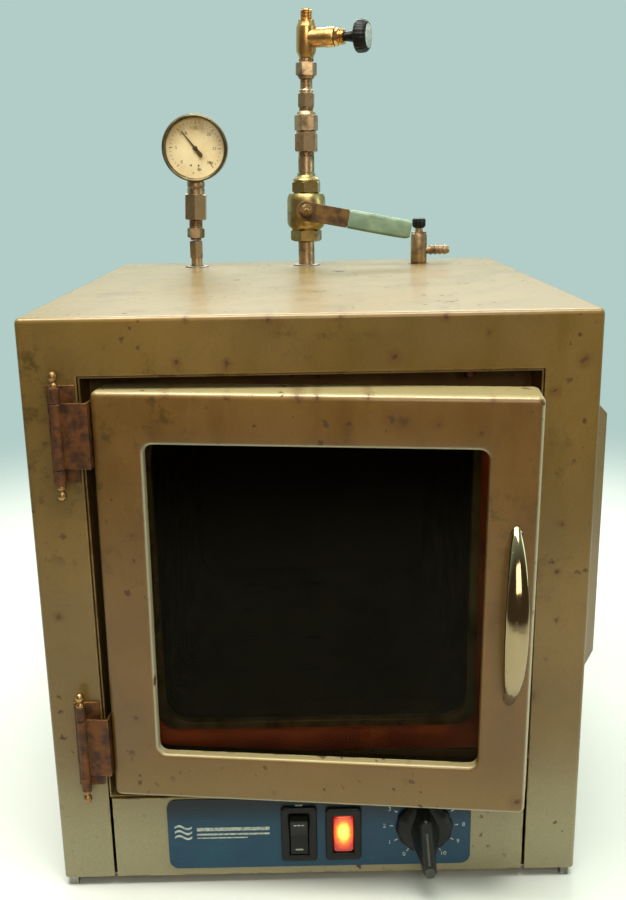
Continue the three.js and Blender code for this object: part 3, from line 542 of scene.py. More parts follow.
def bare_metal(name, tone, dark, roughness, metallic=1.0, grime=0.5, brushed=(1, 1, 1), pitted=0.3):
    """Metal with tarnish, fine scratches and pits."""
    s = Shader(name)
    tarnish = s.ease(s.noise(45, 5, 0.65), 0.38, 0.70)
    fine = s.noise(420, 3, 0.6, place=s.stretched(*brushed))
    shade = s.mix(s.times(tarnish, grime), tone, dark)
    pits = s.times(s.specks(420, 4, 0.45), pitted)
    s.set("Base Color", s.mix(s.times(pits, 0.8), shade, tuple(c * 0.35 for c in dark)))
    s.set("Metallic", s.blend(pits, metallic, metallic * 0.4))
    rough = s.blend(tarnish, roughness, min(1.0, roughness + 0.28 * grime))
    s.set("Roughness", s.math("ADD", rough, s.times(fine, 0.10)))
    s.bump(fine, 0.05, 0.35, below=s.bump(pits, -0.12, 0.6))
    return s.material


def rusted_steel(name, tone, bright, dark):
    """Steel under brown rust, rubbed bright where hands and edges touch it."""
    s = Shader(name)
    crust = s.noise(120, 6, 0.7)
    shade = s.mix(s.ease(crust, 0.35, 0.65), dark, tone)
    rubbed = s.times(s.ease(s.edges(1.2), 0.02, 0.12), s.ease(s.noise(60, 3), 0.42, 0.58))
    s.set("Base Color", s.mix(rubbed, shade, bright))
    s.set("Metallic", s.blend(rubbed, 0.35, 1.0))
    s.set("Roughness", s.blend(rubbed, s.blend(crust, 0.45, 0.75), 0.25))
    s.bump(crust, 0.35, 0.6)
    return s.material


def chrome_plate():
    s = Shader("chrome_plate", Metallic=1.0)
    haze = s.ease(s.noise(70, 5, 0.65), 0.52, 0.75)
    s.set("Base Color", s.mix(s.times(haze, 0.6), (152, 136, 104), (84, 64, 38)))
    scratches = s.noise(700, 3, 0.6, place=s.stretched(1, 1, 0.08))
    s.set("Roughness", s.blend(haze, s.times(scratches, 0.2), 0.34))
    s.bump(s.specks(300, 7, 0.4), -0.08, 0.5)
    return s.material


def moulded_plastic(name, tone, worn, roughness=0.38):
    s = Shader(name, Specular_IOR_Level=0.24)
    dust = s.ease(s.noise(60, 5, 0.65), 0.45, 0.75)
    rubbed = s.times(s.ease(s.edges(1.0), 0.02, 0.10), 0.8)
    shade = s.mix(s.times(dust, 0.25), tone, worn)
    s.set("Base Color", s.mix(rubbed, shade, worn))
    s.set("Roughness", s.blend(dust, roughness, roughness + 0.22))
    s.bump(s.noise(900, 2), 0.06, 0.5)
    return s.material


def label_enamel():
    """Printed blue plate, a little scratched, with fine brushing under the ink."""
    s = Shader("label_enamel", Specular_IOR_Level=0.3)
    cloud = s.ease(s.noise(22, 4), 0.3, 0.7)
    shade = s.mix(cloud, (16, 56, 82), (14, 66, 86))
    # painted shadow: the plate darkens towards its top edge, where the door above would shade it
    shade = s.mix(s.ease(s.along("Z"), 0.050, 0.078), shade, (6, 18, 24))
    scratches = s.ease(s.noise(900, 4, 0.7, place=s.stretched(0.05, 1, 1)), 0.62, 0.80)
    s.set("Base Color", s.mix(s.times(scratches, 0.35), shade, (120, 150, 165)))
    s.set("Roughness", s.blend(cloud, 0.30, 0.42))
    s.bump(scratches, -0.03, 0.4)
    return s.material


def printed_ink(name, tone):
    s = Shader(name)
    worn = s.ease(s.noise(380, 4, 0.7), 0.35, 0.62)
    s.set("Base Color", s.mix(worn, tuple(c * 0.7 for c in tone), tone))
    s.set("Roughness", s.blend(worn, 0.7, 0.45))
    return s.material


def glowing_lens():
    """An amber lens with a lamp behind it: bright in the middle, deep red at the rim."""
    s = Shader("glowing_lens", Roughness=0.25, Coat_Weight=0.5)
    centre = OVEN @ Vector((LAMP["x"], -1, LAMP["z"] + 2))
    away = s.make("ShaderNodeVectorMath", operation="SUBTRACT")
    s.feed(away.inputs[0], s.place)
    away.inputs[1].default_value = centre
    squash = s.make("ShaderNodeVectorMath", operation="MULTIPLY")
    s.feed(squash.inputs[0], away.outputs[0])
    squash.inputs[1].default_value = (1.0, 0.0, 0.56)
    far = s.make("ShaderNodeVectorMath", operation="LENGTH")
    s.feed(far.inputs[0], squash.outputs[0])
    ribs = s.times(s.noise(300, 2), 0.002)
    distance = s.math("ADD", far.outputs["Value"], ribs)
    glow = s.make("ShaderNodeValToRGB")
    s.feed(glow.inputs[0], s.ease(distance, 0.0, 0.0165))
    stops = glow.color_ramp.elements
    stops[0].color = colour((255, 226, 96))
    stops[1].color = colour((60, 6, 4))
    for place, tone in ((0.22, (255, 190, 50)), (0.42, (250, 96, 18)), (0.68, (180, 26, 10))):
        stops.new(place).color = colour(tone)
    s.set("Emission Color", glow.outputs["Color"])
    s.set("Emission Strength", s.blend(s.ease(distance, 0.0, 0.012), 2.6, 0.7))
    s.set("Base Color", s.mix(s.noise(200, 2), (150, 34, 12), (110, 20, 8)))
    s.bump(s.noise(420, 2), 0.1, 0.4)
    return s.material


def silicone(name, tone, dark):
    s = Shader(name, Roughness=0.55)
    patches = s.ease(s.noise(30, 5), 0.35, 0.65)
    dust = s.times(s.ease(s.noise(240, 4, 0.7), 0.55, 0.75), 0.3)
    s.set("Base Color", s.mix(dust, s.mix(patches, tone, dark), (150, 110, 84)))
    s.set("Roughness", s.blend(patches, 0.45, 0.62))
    s.bump(s.noise(500, 2), 0.08, 0.4)
    return s.material


def vinyl_sleeve():
    """Dip-coated vinyl, faded in patches and grubby in others."""
    s = Shader("vinyl_sleeve", Specular_IOR_Level=0.45)
    faded = s.ease(s.noise(36, 4), 0.35, 0.65)
    shade = s.mix(faded, (92, 116, 94), (126, 146, 120))
    dirt = s.ease(s.noise(70, 5, 0.7), 0.56, 0.70)
    s.set("Base Color", s.mix(s.times(dirt, 0.7), shade, (84, 92, 70)))
    s.set("Roughness", s.blend(dirt, 0.38, 0.62))
    s.bump(s.noise(160, 3), 0.2, 0.35)
    return s.material


def dial_paper():
    """Cream dial, yellowed and stained here and there."""
    s = Shader("dial_paper", Roughness=0.55)
    stain = s.ease(s.noise(48, 5, 0.6), 0.42, 0.72)
    shade = s.mix(s.times(stain, 0.45), (238, 228, 204), (212, 184, 146))
    s.set("Base Color", s.mix(s.times(s.specks(160, 9, 0.4), 0.7), shade, (110, 84, 52)))
    s.set("Roughness", s.blend(stain, 0.5, 0.7))
    s.bump(s.noise(600, 2), 0.05, 0.4)
    return s.material


def window_glass(name, tint, roughness=0.02, mirror=0.9, head_on=0.02):
    """Glass that passes tinted light straight through and reflects more at a glancing view."""
    s = Shader(name)
    tree = s.tree
    output = tree.nodes["Material Output"]
    tree.nodes.remove(s.surface)
    clear = s.make("ShaderNodeBsdfTransparent")
    film = s.ease(s.noise(14, 5, 0.6), 0.4, 0.75)
    s.feed(clear.inputs["Color"], s.mix(film, tint, tuple(c * 0.97 for c in tint)))
    shine = s.make("ShaderNodeBsdfGlossy")
    shine.inputs["Color"].default_value = (mirror, mirror, mirror, 1)
    s.feed(shine.inputs["Roughness"], s.blend(film, roughness, roughness + 0.05))
    glance = s.make("ShaderNodeLayerWeight")
    glance.inputs["Blend"].default_value = 0.5
    share = s.blend(s.math("POWER", glance.outputs["Facing"], 4.0), head_on, 0.55)
    both = s.make("ShaderNodeMixShader")
    s.feed(both.inputs[0], share)
    s.feed(both.inputs[1], clear.outputs[0])
    s.feed(both.inputs[2], shine.outputs[0])
    s.feed(output.inputs["Surface"], both.outputs[0])
    return s.material


def mineral_wool():
    s = Shader("mineral_wool", Roughness=0.95)
    fibres = s.noise(300, 6, 0.75, place=s.stretched(1, 1, 3))
    s.set("Base Color", s.mix(fibres, (120, 104, 66), (204, 190, 140)))
    s.set("Roughness", s.blend(fibres, 0.9, 1.0))
    s.bump(fibres, 1.5, 0.9)
    return s.material


# Each paint's lower tone, reached near the foot, is a painted reflection of the pale floor.
PAINT = worn_paint("cabinet_paint_worn", (122, 96, 44), (137, 131, 98), (98, 78, 18), (126, 106, 62),
                   (0.15, 0.03), CABINET_SPOTS)
DOOR_PAINT = worn_paint("door_paint_worn", (114, 83, 34), (114, 90, 40), (90, 58, 14), (152, 140, 98),
                        (0.14, 0.08), DOOR_SPOTS, rim=0.8)
# painted shade: a darker copy of the door paint for the recess above the door
SHADED_TRAY_PAINT = worn_paint("tray_paint_worn_and_shaded", (104, 76, 28), (112, 88, 42), (84, 54, 14), (120, 104, 66),
                        (0.14, 0.08), [])
CHROME = chrome_plate()
STEEL = bare_metal("aged_steel", (150, 150, 142), (78, 72, 60), 0.38, grime=0.8)
# partly heat stain and partly painted shade: nearly black so the closed chamber and the door's inner frame
# read as dark
DARK_STEEL = bare_metal("stained_and_shaded_steel", (24, 21, 14), (10, 8, 5), 0.5, metallic=0.6, grime=0.9, pitted=0.0)
RUSTY = rusted_steel("rusty_steel", (102, 58, 16), (178, 142, 84), (48, 26, 6))
FINIAL = bare_metal("worn_finial", (172, 136, 88), (60, 34, 18), 0.26, grime=0.9, pitted=0.5)
LEVER_RUST = rusted_steel("rusty_lever", (104, 76, 30), (190, 160, 104), (54, 36, 14))
BRASS = bare_metal("gold_brass", (210, 168, 104), (124, 84, 46), 0.22, grime=0.65, pitted=0.2)
OLIVE_BRASS = bare_metal("cast_brass", (178, 158, 104), (80, 64, 36), 0.26, grime=0.8, pitted=0.4)
RIM_BRASS = bare_metal("gauge_rim_brass", (108, 100, 74), (54, 48, 34), 0.32, grime=0.8, pitted=0.4)
OLD_BRASS = bare_metal("tarnished_brass", (186, 160, 126), (84, 66, 46), 0.30, grime=0.9, pitted=0.6)
BLACK = moulded_plastic("black_plastic", (9, 11, 10), (44, 45, 40))
NEEDLE = moulded_plastic("needle_paint", (74, 62, 46), (120, 104, 80))
GREY_TIP = moulded_plastic("worn_knob_tip", (52, 56, 50), (120, 122, 110))
INK = printed_ink("label_ink", (186, 196, 184))
DARK_INK = printed_ink("dial_ink", (88, 70, 48))
LABEL_BLUE = label_enamel()
LENS = glowing_lens()
RED_RUBBER = silicone("red_silicone", (206, 90, 36), (162, 56, 22))
VINYL = vinyl_sleeve()
DIAL = dial_paper()
PANE_GLASS = window_glass("window_glass", (232, 226, 204), mirror=0.4, head_on=0.006)
DIAL_GLASS = window_glass("dial_glass", (252, 251, 244), roughness=0.06, mirror=0.7)
WOOL = mineral_wool()

# ---- cabinet ----


def screw_head(radius=4.0, height=2.2):
    """A pan head with a round drive recess, standing on z = 0."""
    angles = [math.radians(12 * i) for i in range(7)]
    dome = [(radius * math.cos(a), height * math.sin(a)) for a in angles]
    recess = [(1.6, height * 0.99), (1.3, height * 0.45), (0, height * 0.4)]
    return turned([(0, -0.6), (radius, -0.6), *dome, *recess], 20)


def build_cabinet():
    dress("cabinet_shell", "cabinet.skin", "cabinet", PAINT, "cabinet_paint", bevel=1.1, segments=4)
    dress("back_panel", "cabinet.back", "cabinet", PAINT, "cabinet_paint", bevel=0.35)
    dress("access_cover", "cabinet.side_cover", "cabinet", PAINT, "cabinet_paint",
          bevel=1.6, segments=4, sharp=20)
    dress("control_panel", "control.panel", "cabinet", PAINT, "cabinet_paint", bevel=0.6)
    dress("recess_liner", "recess.tray", "cabinet", SHADED_TRAY_PAINT, "door_paint", bevel=0.4)
    for node in ("base_runner_left", "base_runner_right", "base_pan"):
        dress(node, f"{node}.worn", "cabinet", STEEL, "bare_steel", bevel=0.8)


def build_screws():
    """Screws that hold the side cover and the back panel."""
    cover = Piece("cabinet.cover_screws", "cabinet")
    rows = (COVER["bottom"] + 20, (COVER["bottom"] + COVER["top"]) / 2, COVER["top"] - 20)
    for y in (COVER["front"] + 22, (COVER["front"] + COVER["back"]) / 2, COVER["back"] - 22):
        for z in rows:
            if y == (COVER["front"] + COVER["back"]) / 2 and z == rows[1]:
                continue
            cover.add(screw_head(), moved(COVER["face"], y, z) @ FACING_RIGHT)
    cover.finish(STEEL, slot="bare_steel")
    back = Piece("cabinet.back_screws", "cabinet")
    for x in (-198, -66, 66, 198):
        for z in (14, 447):
            back.add(screw_head(), moved(x, PANEL_BACK, z) @ FACING_BACK)
    for x in (-198, 198):
        for z in (158, 302):
            back.add(screw_head(), moved(x, PANEL_BACK, z) @ FACING_BACK)
    for x in (INLET["x"] - 20, INLET["x"] + 20):
        back.add(screw_head(2.6, 1.6), moved(x, PANEL_BACK + 3, INLET["z"]) @ FACING_BACK)
    back.finish(STEEL, slot="bare_steel")


def louvre(x, z, half=45, rise=4.6, out=2.6):
    """A pressed hood over a slot in the back panel, open downwards."""
    rings = []
    for i in range(13):
        t = -1 + 2 * i / 12
        swell = math.sqrt(max(0.0, 1 - abs(t) ** 6)) + 0.02
        angles = [math.radians(15 * k) for k in range(7)]
        hood = [(out * swell * math.cos(a), rise * swell * math.sin(a)) for a in angles]
        lining = [(py * 0.7 - 0.3, pz * 0.8) for py, pz in reversed(hood)]
        rings.append([(x + t * (half + 2), PANEL_BACK + py, z + pz) for py, pz in hood + lining])
    return loft(rings)


def build_back_details():
    hoods = Piece("cabinet.louvres", "cabinet")
    for side in (-1, 1):
        for row in range(5):
            hoods.add(louvre(side * 95, 332.5 + row * 14))
    hoods.finish(PAINT, slot="cabinet_paint")
    plate = Piece("cabinet.blank_plate", "cabinet")
    plate.add(pillow(lambda inset: shifted(rounded_rectangle(44 - inset, 22 - inset, 3), 10, INLET["z"]),
                     PANEL_BACK + 0.1, PANEL_BACK + 1.0, 0.3))
    for x in (-28, 48):
        plate.add(screw_head(1.8, 1.0), moved(x, PANEL_BACK + 1.0, INLET["z"]) @ FACING_BACK)
    plate.finish(STEEL, slot="bare_steel")


def build_inlet():
    dress("power_inlet", "inlet.housing", "cabinet", BLACK, "black_plastic", bevel=0.7, segments=3)


# ---- chamber, seen through the window and with the door open ----


def build_chamber():
    dress("chamber_body", "chamber.body", "cabinet", DARK_STEEL, "bare_steel", bevel=0.8)
    dress("chamber_flange", "chamber.flange", "cabinet", STEEL, "bare_steel", bevel=0.8)
    dress("chamber_shelf", "chamber.shelf", "shelf", DARK_STEEL, "bare_steel", bevel=0.5)
    dress("heater_jacket", "chamber.heater", "cabinet", RUSTY, "rusty_steel", bevel=0.5)
    dress("insulation_blanket", "chamber.wool", "cabinet", WOOL, "mineral_wool", bevel=3.0, segments=3)
    inside, outside, front, back = (GASKET[key] for key in ("inside", "outside", "front", "back"))
    middle = (inside + outside) / 2
    half = (outside - inside) / 2
    seal = [(half * math.cos(a), math.sin(a)) for a in [math.radians(18 * i) for i in range(11)]]
    sections = [(middle + px, middle + px, 18, back - 2.5 - (back - front - 2.5) * rise) for px, rise in seal]
    sections += [(inside, inside, 16, back), (outside, outside, 20, back)]
    Piece("chamber.gasket", "cabinet").add(ring_frame(sections, z=DOOR["z"])).finish(
        RED_RUBBER, replaces=["door_gasket"], slot="red_silicone", sharp=60)


# ---- door ----


def build_door():
    """A folded tray with rounded edges, its window edge rolled inwards."""
    front, back, sheet = DOOR["front"], DOOR["back"], DOOR["sheet"]
    wide, tall, edge = DOOR["half_width"], DOOR["half_height"], DOOR["edge"]
    sections = [(wide, tall, edge, back)]
    for angle in range(0, 91, 15):
        inset = edge * (1 - math.cos(math.radians(angle)))
        depth = front + edge * (1 - math.sin(math.radians(angle)))
        sections.append((wide - inset, tall - inset, 1.5 + 3.5 * math.cos(math.radians(angle)), depth))
    across, up, corner, roll = WINDOW["half_width"], WINDOW["half_height"], WINDOW["corner"], 3.2

    def hole(out, depth):
        sections.append((across + out, up + out, corner + out, depth))

    for angle in range(0, 91, 15):
        hole(roll * (1 - math.sin(math.radians(angle))), front + roll * (1 - math.cos(math.radians(angle))))
    hole(0, front + WINDOW["lip"])
    hole(sheet, front + WINDOW["lip"])
    hole(sheet, front + roll + 0.5)
    hole(sheet + roll, front + sheet)
    sections += [
        (wide - edge, tall - edge, 2, front + sheet),
        (wide - sheet, tall - sheet, 3, front + edge),
        (wide - sheet, tall - sheet, 3, back),
    ]
    Piece("door.shell", "door", DOOR_FRAME).add(ring_frame(sections, z=DOOR["z"])).finish(
        DOOR_PAINT, replaces=["door_shell"], slot="door_paint", sharp=40)
    dress("door_inner_frame", "door.inner_frame", "door", DARK_STEEL, "bare_steel", bevel=0.6)
    dress("window_pane", "door.pane", "door", PANE_GLASS, "clear_glass", bevel=0.6)
    dress("vacuum_glass", "door.glass", "door", PANE_GLASS, "clear_glass", bevel=0.6)


def build_handle():
    """A bow pull: a leaf-shaped bar with a crowned front, arched between its two feet."""
    half, bow, bar, wide = HANDLE["half"], HANDLE["bow"], HANDLE["bar"], HANDLE["half_width"]
    radius = (half * half + bow * bow) / (2 * bow)
    sweep = math.asin(half / radius)
    foot = DOOR["front"] - GAP
    rings = []
    steps = 48
    for i in range(steps + 1):
        t = -1 + 2 * i / steps
        angle = t * sweep
        height = radius * math.sin(angle)
        out = radius * math.cos(angle) - (radius - bow)
        broad = 2.6 + (wide - 2.6) * (1 - t * t) ** 0.8
        thick = bar * (0.62 + 0.38 * (1 - t * t))
        normal = Vector((0, -math.cos(angle), math.sin(angle)))
        centre = Vector((0, -out, height)) - normal * thick / 2
        ring = []
        for k in range(20):
            a = 2 * math.pi * k / 20
            crown = math.sin(a)
            lift = thick / 2 * (crown if crown > 0 else 0.75 * crown)
            point = centre + Vector((broad * math.cos(a), 0, 0)) + normal * lift
            point.y = min(point.y, 0)
            ring.append((HANDLE["x"] + point.x, foot + point.y, HANDLE["z"] + point.z))
        rings.append(ring)
    bow_piece = Piece("door.handle", "door", DOOR_FRAME).add(loft(rings))
    for side in (-1, 1):
        pad = turned([(0, 0), (4.6, 0), (4.2, 1.6), (2.6, 2.6), (0, 3.0)], 24)
        bow_piece.add(pad, moved(HANDLE["x"], foot, HANDLE["z"] + side * (half - 5.4)) @ FACING_FRONT)
    bow_piece.finish(CHROME, replaces=["door_handle"], slot="chrome", sharp=60)


# ---- hinges ----

BARREL = {"radius": 3.8, "half": 36.5, "leaf": 24.5, "pin": 1.9}


def knuckle(z0, z1, radius=BARREL["radius"]):
    """A rolled knuckle with softened ends and the pin's bore through it."""
    ease = 0.5
    bore = BARREL["pin"] + GAP
    profile = [(bore, z0), (radius - ease, z0), (radius, z0 + ease), (radius, z1 - ease),
               (radius - ease, z1), (bore, z1)]
    return turned(profile, 32, closed=True)


def finial(side):
    """Two balls on the end of a hinge pin."""
    half = BARREL["half"] + GAP
    profile = [(0, half - 1), (BARREL["pin"], half - 1), (3.2, half), (3.3, half + 1.6), (2.3, half + 2.8),
               (1.7, half + 3.4)]
    ball = 3.5
    for degrees in range(-50, 91, 14):
        angle = math.radians(degrees)
        profile.append((ball * math.cos(angle), half + 7.4 + ball * 1.1 * math.sin(angle)))
    profile.append((0, half + 11.3))
    return turned([(radius, side * z) for radius, z in profile], 28)


def build_hinges():
    low, leaf = BARREL["half"], BARREL["leaf"]
    for where, height in HINGE_HEIGHTS.items():
        axis = moved(HINGE.x, HINGE.y, height)
        fixed = Piece(f"hinge.fixed_leaf_{where}", "cabinet")
        fixed.add(box(-7, 13, 6.7, 8.7, -low, low), axis)
        for side in (-1, 1):
            z0, z1 = sorted((side * low, side * (leaf + GAP)))
            fixed.add(knuckle(z0, z1), axis)
            fixed.add(box(-BARREL["radius"] + 1, BARREL["radius"] - 1, 2.4, 7.2, z0 + 0.2, z1 - 0.2), axis)
        fixed.finish(RUSTY, replaces=[f"hinge_leaf_fixed_{where}"], slot="rusty_steel", bevel=0.3)
        pin = Piece(f"hinge.pin_{where}", "cabinet")
        pin.add(turned([(0, -low), (BARREL["pin"], -low), (BARREL["pin"], low), (0, low)], 20), axis)
        pin.add(finial(1), axis).add(finial(-1), axis)
        pin.finish(FINIAL, replaces=[f"hinge_pin_{where}"], slot="rusty_steel", sharp=50)
        lean = (height - leaf - DOOR["z"]) * math.sin(DOOR_SAG)
        door_side = lean - DOOR["half_width"] - GAP - HINGE.x
        moving = Piece(f"hinge.door_leaf_{where}", "door", SWING_FRAME)
        moving.add(knuckle(-leaf, leaf), axis)
        moving.add(box(2.6, door_side, 1.2, 3.2, -leaf, leaf), axis)
        moving.add(box(door_side - 2, door_side, 1.4, 30, -leaf + 0.1, leaf - 0.1), axis)
        moving.finish(RUSTY, replaces=[f"hinge_leaf_door_{where}"], slot="rusty_steel", bevel=0.4)


# ---- control strip ----


def text_solid(word, size):
    """A word as a thin solid, its front facing the viewer and its centre at the origin."""
    curve = bpy.data.curves.new("word", "FONT")
    curve.body = word
    curve.size = size
    curve.align_x = "CENTER"
    curve.align_y = "CENTER"
    curve.extrude = 0.05
    curve.resolution_u = 3
    holder = bpy.data.objects.new("word", curve)
    data = bpy.data.meshes.new_from_object(holder)
    points = [(v.co.x, -v.co.z, v.co.y) for v in data.vertices]
    faces = [tuple(p.vertices) for p in data.polygons]
    bpy.data.meshes.remove(data)
    bpy.data.objects.remove(holder)
    bpy.data.curves.remove(curve)
    return points, faces


def build_label():
    """The blue plate, and pale print that stands a hair proud of it."""
    dress("label_plate", "label.plate", "cabinet", LABEL_BLUE, "blue_label", bevel=0.2)
    front = LABEL["front"] - 0.12
    top = LABEL["z"] + LABEL["height"] / 2
    printing = Piece("label.print", "cabinet")

    def bar(x0, x1, z0, z1):
        printing.add(box(x0, x1, front, LABEL["front"] + 0.1, z0, z1))

    def wave(x0, width, height, thick):
        steps = 14
        turns = [i / steps for i in range(steps + 1)]
        upper = [(x0 + width * t, height + 1.5 * math.sin(2 * math.pi * t)) for t in turns]
        lower = [(px, pz - thick) for px, pz in reversed(upper)]
        printing.add(prism(upper + lower, front, LABEL["front"] + 0.1))

    for row in range(3):
        wave(-117, 14, 47 - row * 4.6, 1.9)
    bar(-99, -40, 42.4, 45.4)
    bar(-99, -40, 38.4, 40.0)
    bar(-99, -58, 35.4, 36.4)
    for side, height in ((1, 64.0), (-1, 13.0)):
        bar(ROCKER["x"] - 3, ROCKER["x"] + 3, height, height + 1.2)
    steps = 10
    for i in range(steps + 1):
        angle = math.radians(-150 + 300 * i / steps)
        across, up = math.sin(angle), math.cos(angle)
        turn = moved(KNOB["x"], 0, KNOB["z"]) @ Matrix.Rotation(angle, 4, "Y")
        reach = 26.6 if abs(up) < 0.9 else 25.2
        printing.add(box(-0.45, 0.45, front, LABEL["front"] + 0.1, reach - 1.6, reach + 1.2), turn)
        if KNOB["z"] + 31.8 * up < top - 3:
            place = moved(KNOB["x"] + 32.2 * across, (front + LABEL["front"]) / 2, KNOB["z"] + 31 * up)
            printing.add(text_solid(str(i), 5.2), place)
    printing.finish(INK, sharp=50)


def bezel(name, node, place, half_width, half_height, well):
    """A moulded surround with a rounded face and a well through it."""
    face = LABEL["front"] - GAP
    well_width, well_height = well
    sections = [
        (half_width, half_height, 3, face),
        (half_width, half_height, 3, face - 1.6),
        (half_width - 0.5, half_height - 0.5, 2.8, face - 2.5),
        (half_width - 1.6, half_height - 1.6, 2.2, face - 3),
        (well_width + 1.4, well_height + 1.4, 1.6, face - 3),
        (well_width + 0.4, well_height + 0.4, 1.2, face - 2.5),
        (well_width, well_height, 1, face - 1.6),
        (well_width, well_height, 1, 20),
        (well_width + 2.2, well_height + 2.2, 1.5, 20),
        (well_width + 2.2, well_height + 2.2, 1.5, face),
    ]
    Piece(name, "cabinet").add(ring_frame(sections, place["x"], place["z"])).finish(
        BLACK, replaces=[node], slot="black_plastic", sharp=40)


FACE_SLOPE = math.atan2(2.23, 13.17)


def build_rocker():
    """A paddle with two faces that meet in a shallow valley, and small pale marks on both."""
    bezel("rocker.bezel", "rocker_bezel", ROCKER, 14.5, 25, (ROCKER["half"] + 0.5, 19.2))
    pivot = moved(ROCKER["x"], 2, ROCKER["z"]) @ Matrix.Rotation(ROCKER["tilt"], 4, "X")
    reach = ROCKER["reach"]
    tip = math.degrees(math.asin(8.5 / reach))
    heel = math.degrees(math.asin(-3 / reach))
    end = arc(0, 0, reach, 90 - tip, 90 - heel, 5)
    upper = [(-px, pz) for px, pz in end]
    lower = [(-px, -pz) for px, pz in reversed(end)]
    valley = [(-5.5 - 0.13 * abs(i) ** 1.6, 1.2 * i) for i in range(-3, 4)]
    outline = upper + lower + valley
    rings = [[(x, y, z) for y, z in outline] for x in (-ROCKER["half"], ROCKER["half"])]
    Piece("rocker.paddle", "rocker").add(loft(rings), pivot).finish(
        BLACK, replaces=["power_rocker"], slot="black_plastic", bevel=0.7, segments=3, sharp=28)
    marks = Piece("rocker.marks", "rocker")
    for side in (-1, 1):
        turn = pivot @ moved(0, -7.79, side * 12.6) @ Matrix.Rotation(side * FACE_SLOPE, 4, "X")
        dashes = (-3.2, 0, 3.2) if side > 0 else (-2, 0, 2)
        for x in dashes:
            marks.add(box(x - 1.15, x + 1.15, -0.12, 0.3, -0.6, 0.6), turn)
    marks.finish(INK)


def build_lamp():
    bezel("lamp.bezel", "pilot_bezel", LAMP, 14.5, 24, (8.5, 17))

    def outline(inset):
        return rounded_rectangle(8.2 - inset, 16.7 - inset, max(2.6 - inset * 0.6, 0.6))

    lens = pillow(outline, -3.7, 9.5, 1.8, 4)
    piece = Piece("lamp.lens", "cabinet").add(lens, moved(LAMP["x"], 0, LAMP["z"]))
    for row in range(-4, 5):
        rib = tube([(-6.2, -3.4, row * 3.3), (6.2, -3.4, row * 3.3)], 0.5, 8)
        piece.add(rib, moved(LAMP["x"], 0, LAMP["z"]))
    piece.finish(LENS, replaces=["pilot_lens"], slot="lamp_lens", sharp=50)


def build_knob():
    """A skirted pointer knob: a fluted skirt and a tall bar that tapers towards its front."""
    base = LABEL["front"] - GAP
    turn = moved(KNOB["x"], base, KNOB["z"]) @ Matrix.Rotation(-KNOB["turn"], 4, "Y")
    radius = KNOB["radius"]
    knob = Piece("knob.body", "knob")
    skirt = [(0, 0), (radius - 0.6, 0), (radius, 0.6), (radius, 3.2), (radius - 0.8, 4.4), (radius - 3, 6.6),
             (radius - 5, 7.8), (radius - 9, 8.4), (0, 8.6)]
    knob.add(turned(skirt, 96, waves=12, depth=0.9), turn @ FACING_FRONT)
    rings = []
    for share in (0.0, 0.12, 0.35, 0.6, 0.8, 0.92, 0.98, 1.0):
        depth = -7 - 21 * share
        flare = (1 - share) ** 2.2
        ease = 1.6 * max(0.0, share - 0.9) / 0.1
        low = arc(0, -24, 6 - ease + 1.0 * flare, 200, 340, 10)
        waist = [(narrow + spread * flare - ease, z)
                 for narrow, spread, z in ((5.2, 6.5, -8), (4.9, 8.0, 2), (4.7, 5.0, 10))]
        high = arc(0, 19 - 2.2 * flare, 4.5 - ease + 1.4 * flare, 0, 180, 10)
        mirror = [(-px, pz) for px, pz in reversed(waist)]
        rings.append(standing(low + waist + high + mirror, depth))
    knob.add(loft(rings), turn)
    knob.add(turned([(0, -11), (3, -11), (3, 0.4), (0, 0.4)], 20), turn @ FACING_FRONT)
    knob.finish(BLACK, replaces=["thermostat_knob"], slot="black_plastic", sharp=38)
    tip = Piece("knob.tip", "knob")
    tip.add(pillow(lambda inset: shifted(rounded_rectangle(3.6 - inset, 4.4 - inset, 2.4), 0, -24.6),
                   -28.12, -27.4, 0.3), turn)
    tip.add(box(-0.7, 0.7, -28.15, -27.6, -17, 12), turn)
    tip.finish(GREY_TIP, slot="black_plastic", sharp=40)


def build_thermostat():
    dress("thermostat_body", "thermostat.can", "cabinet", STEEL, "bare_steel", bevel=0.8)
    dress("thermostat_bulb", "thermostat.bulb", "cabinet", OLD_BRASS, "brass")
    dress("catch_stud", "recess.stud", "cabinet", RUSTY, "rusty_steel", bevel=0.4)


# ---- roof fittings ----


def bent_pipe(x, radius, top):
    """A pipe from the chamber's back wall, round an elbow and up through the roof."""
    port = DOOR["z"] + 60
    bend = 22
    path = [(x, 372, port), (x, PORT_Y - bend, port)]
    path += [(x, py, pz) for py, pz in arc(PORT_Y - bend, port + bend, bend, -90, 0, 8)][1:]
    path.append((x, PORT_Y, CABINET_HEIGHT + top))
    return tube(path, radius, 32)


def fitting(name, node, place, *solids, look=OLD_BRASS, slot="aged_brass", sharp=28):
    """One fixed piece of the plumbing, from solids given about its own axis."""
    piece = Piece(name, "cabinet", place)
    for part in solids:
        piece.add(part)
    piece.finish(look, replaces=[node], slot=slot, sharp=sharp)


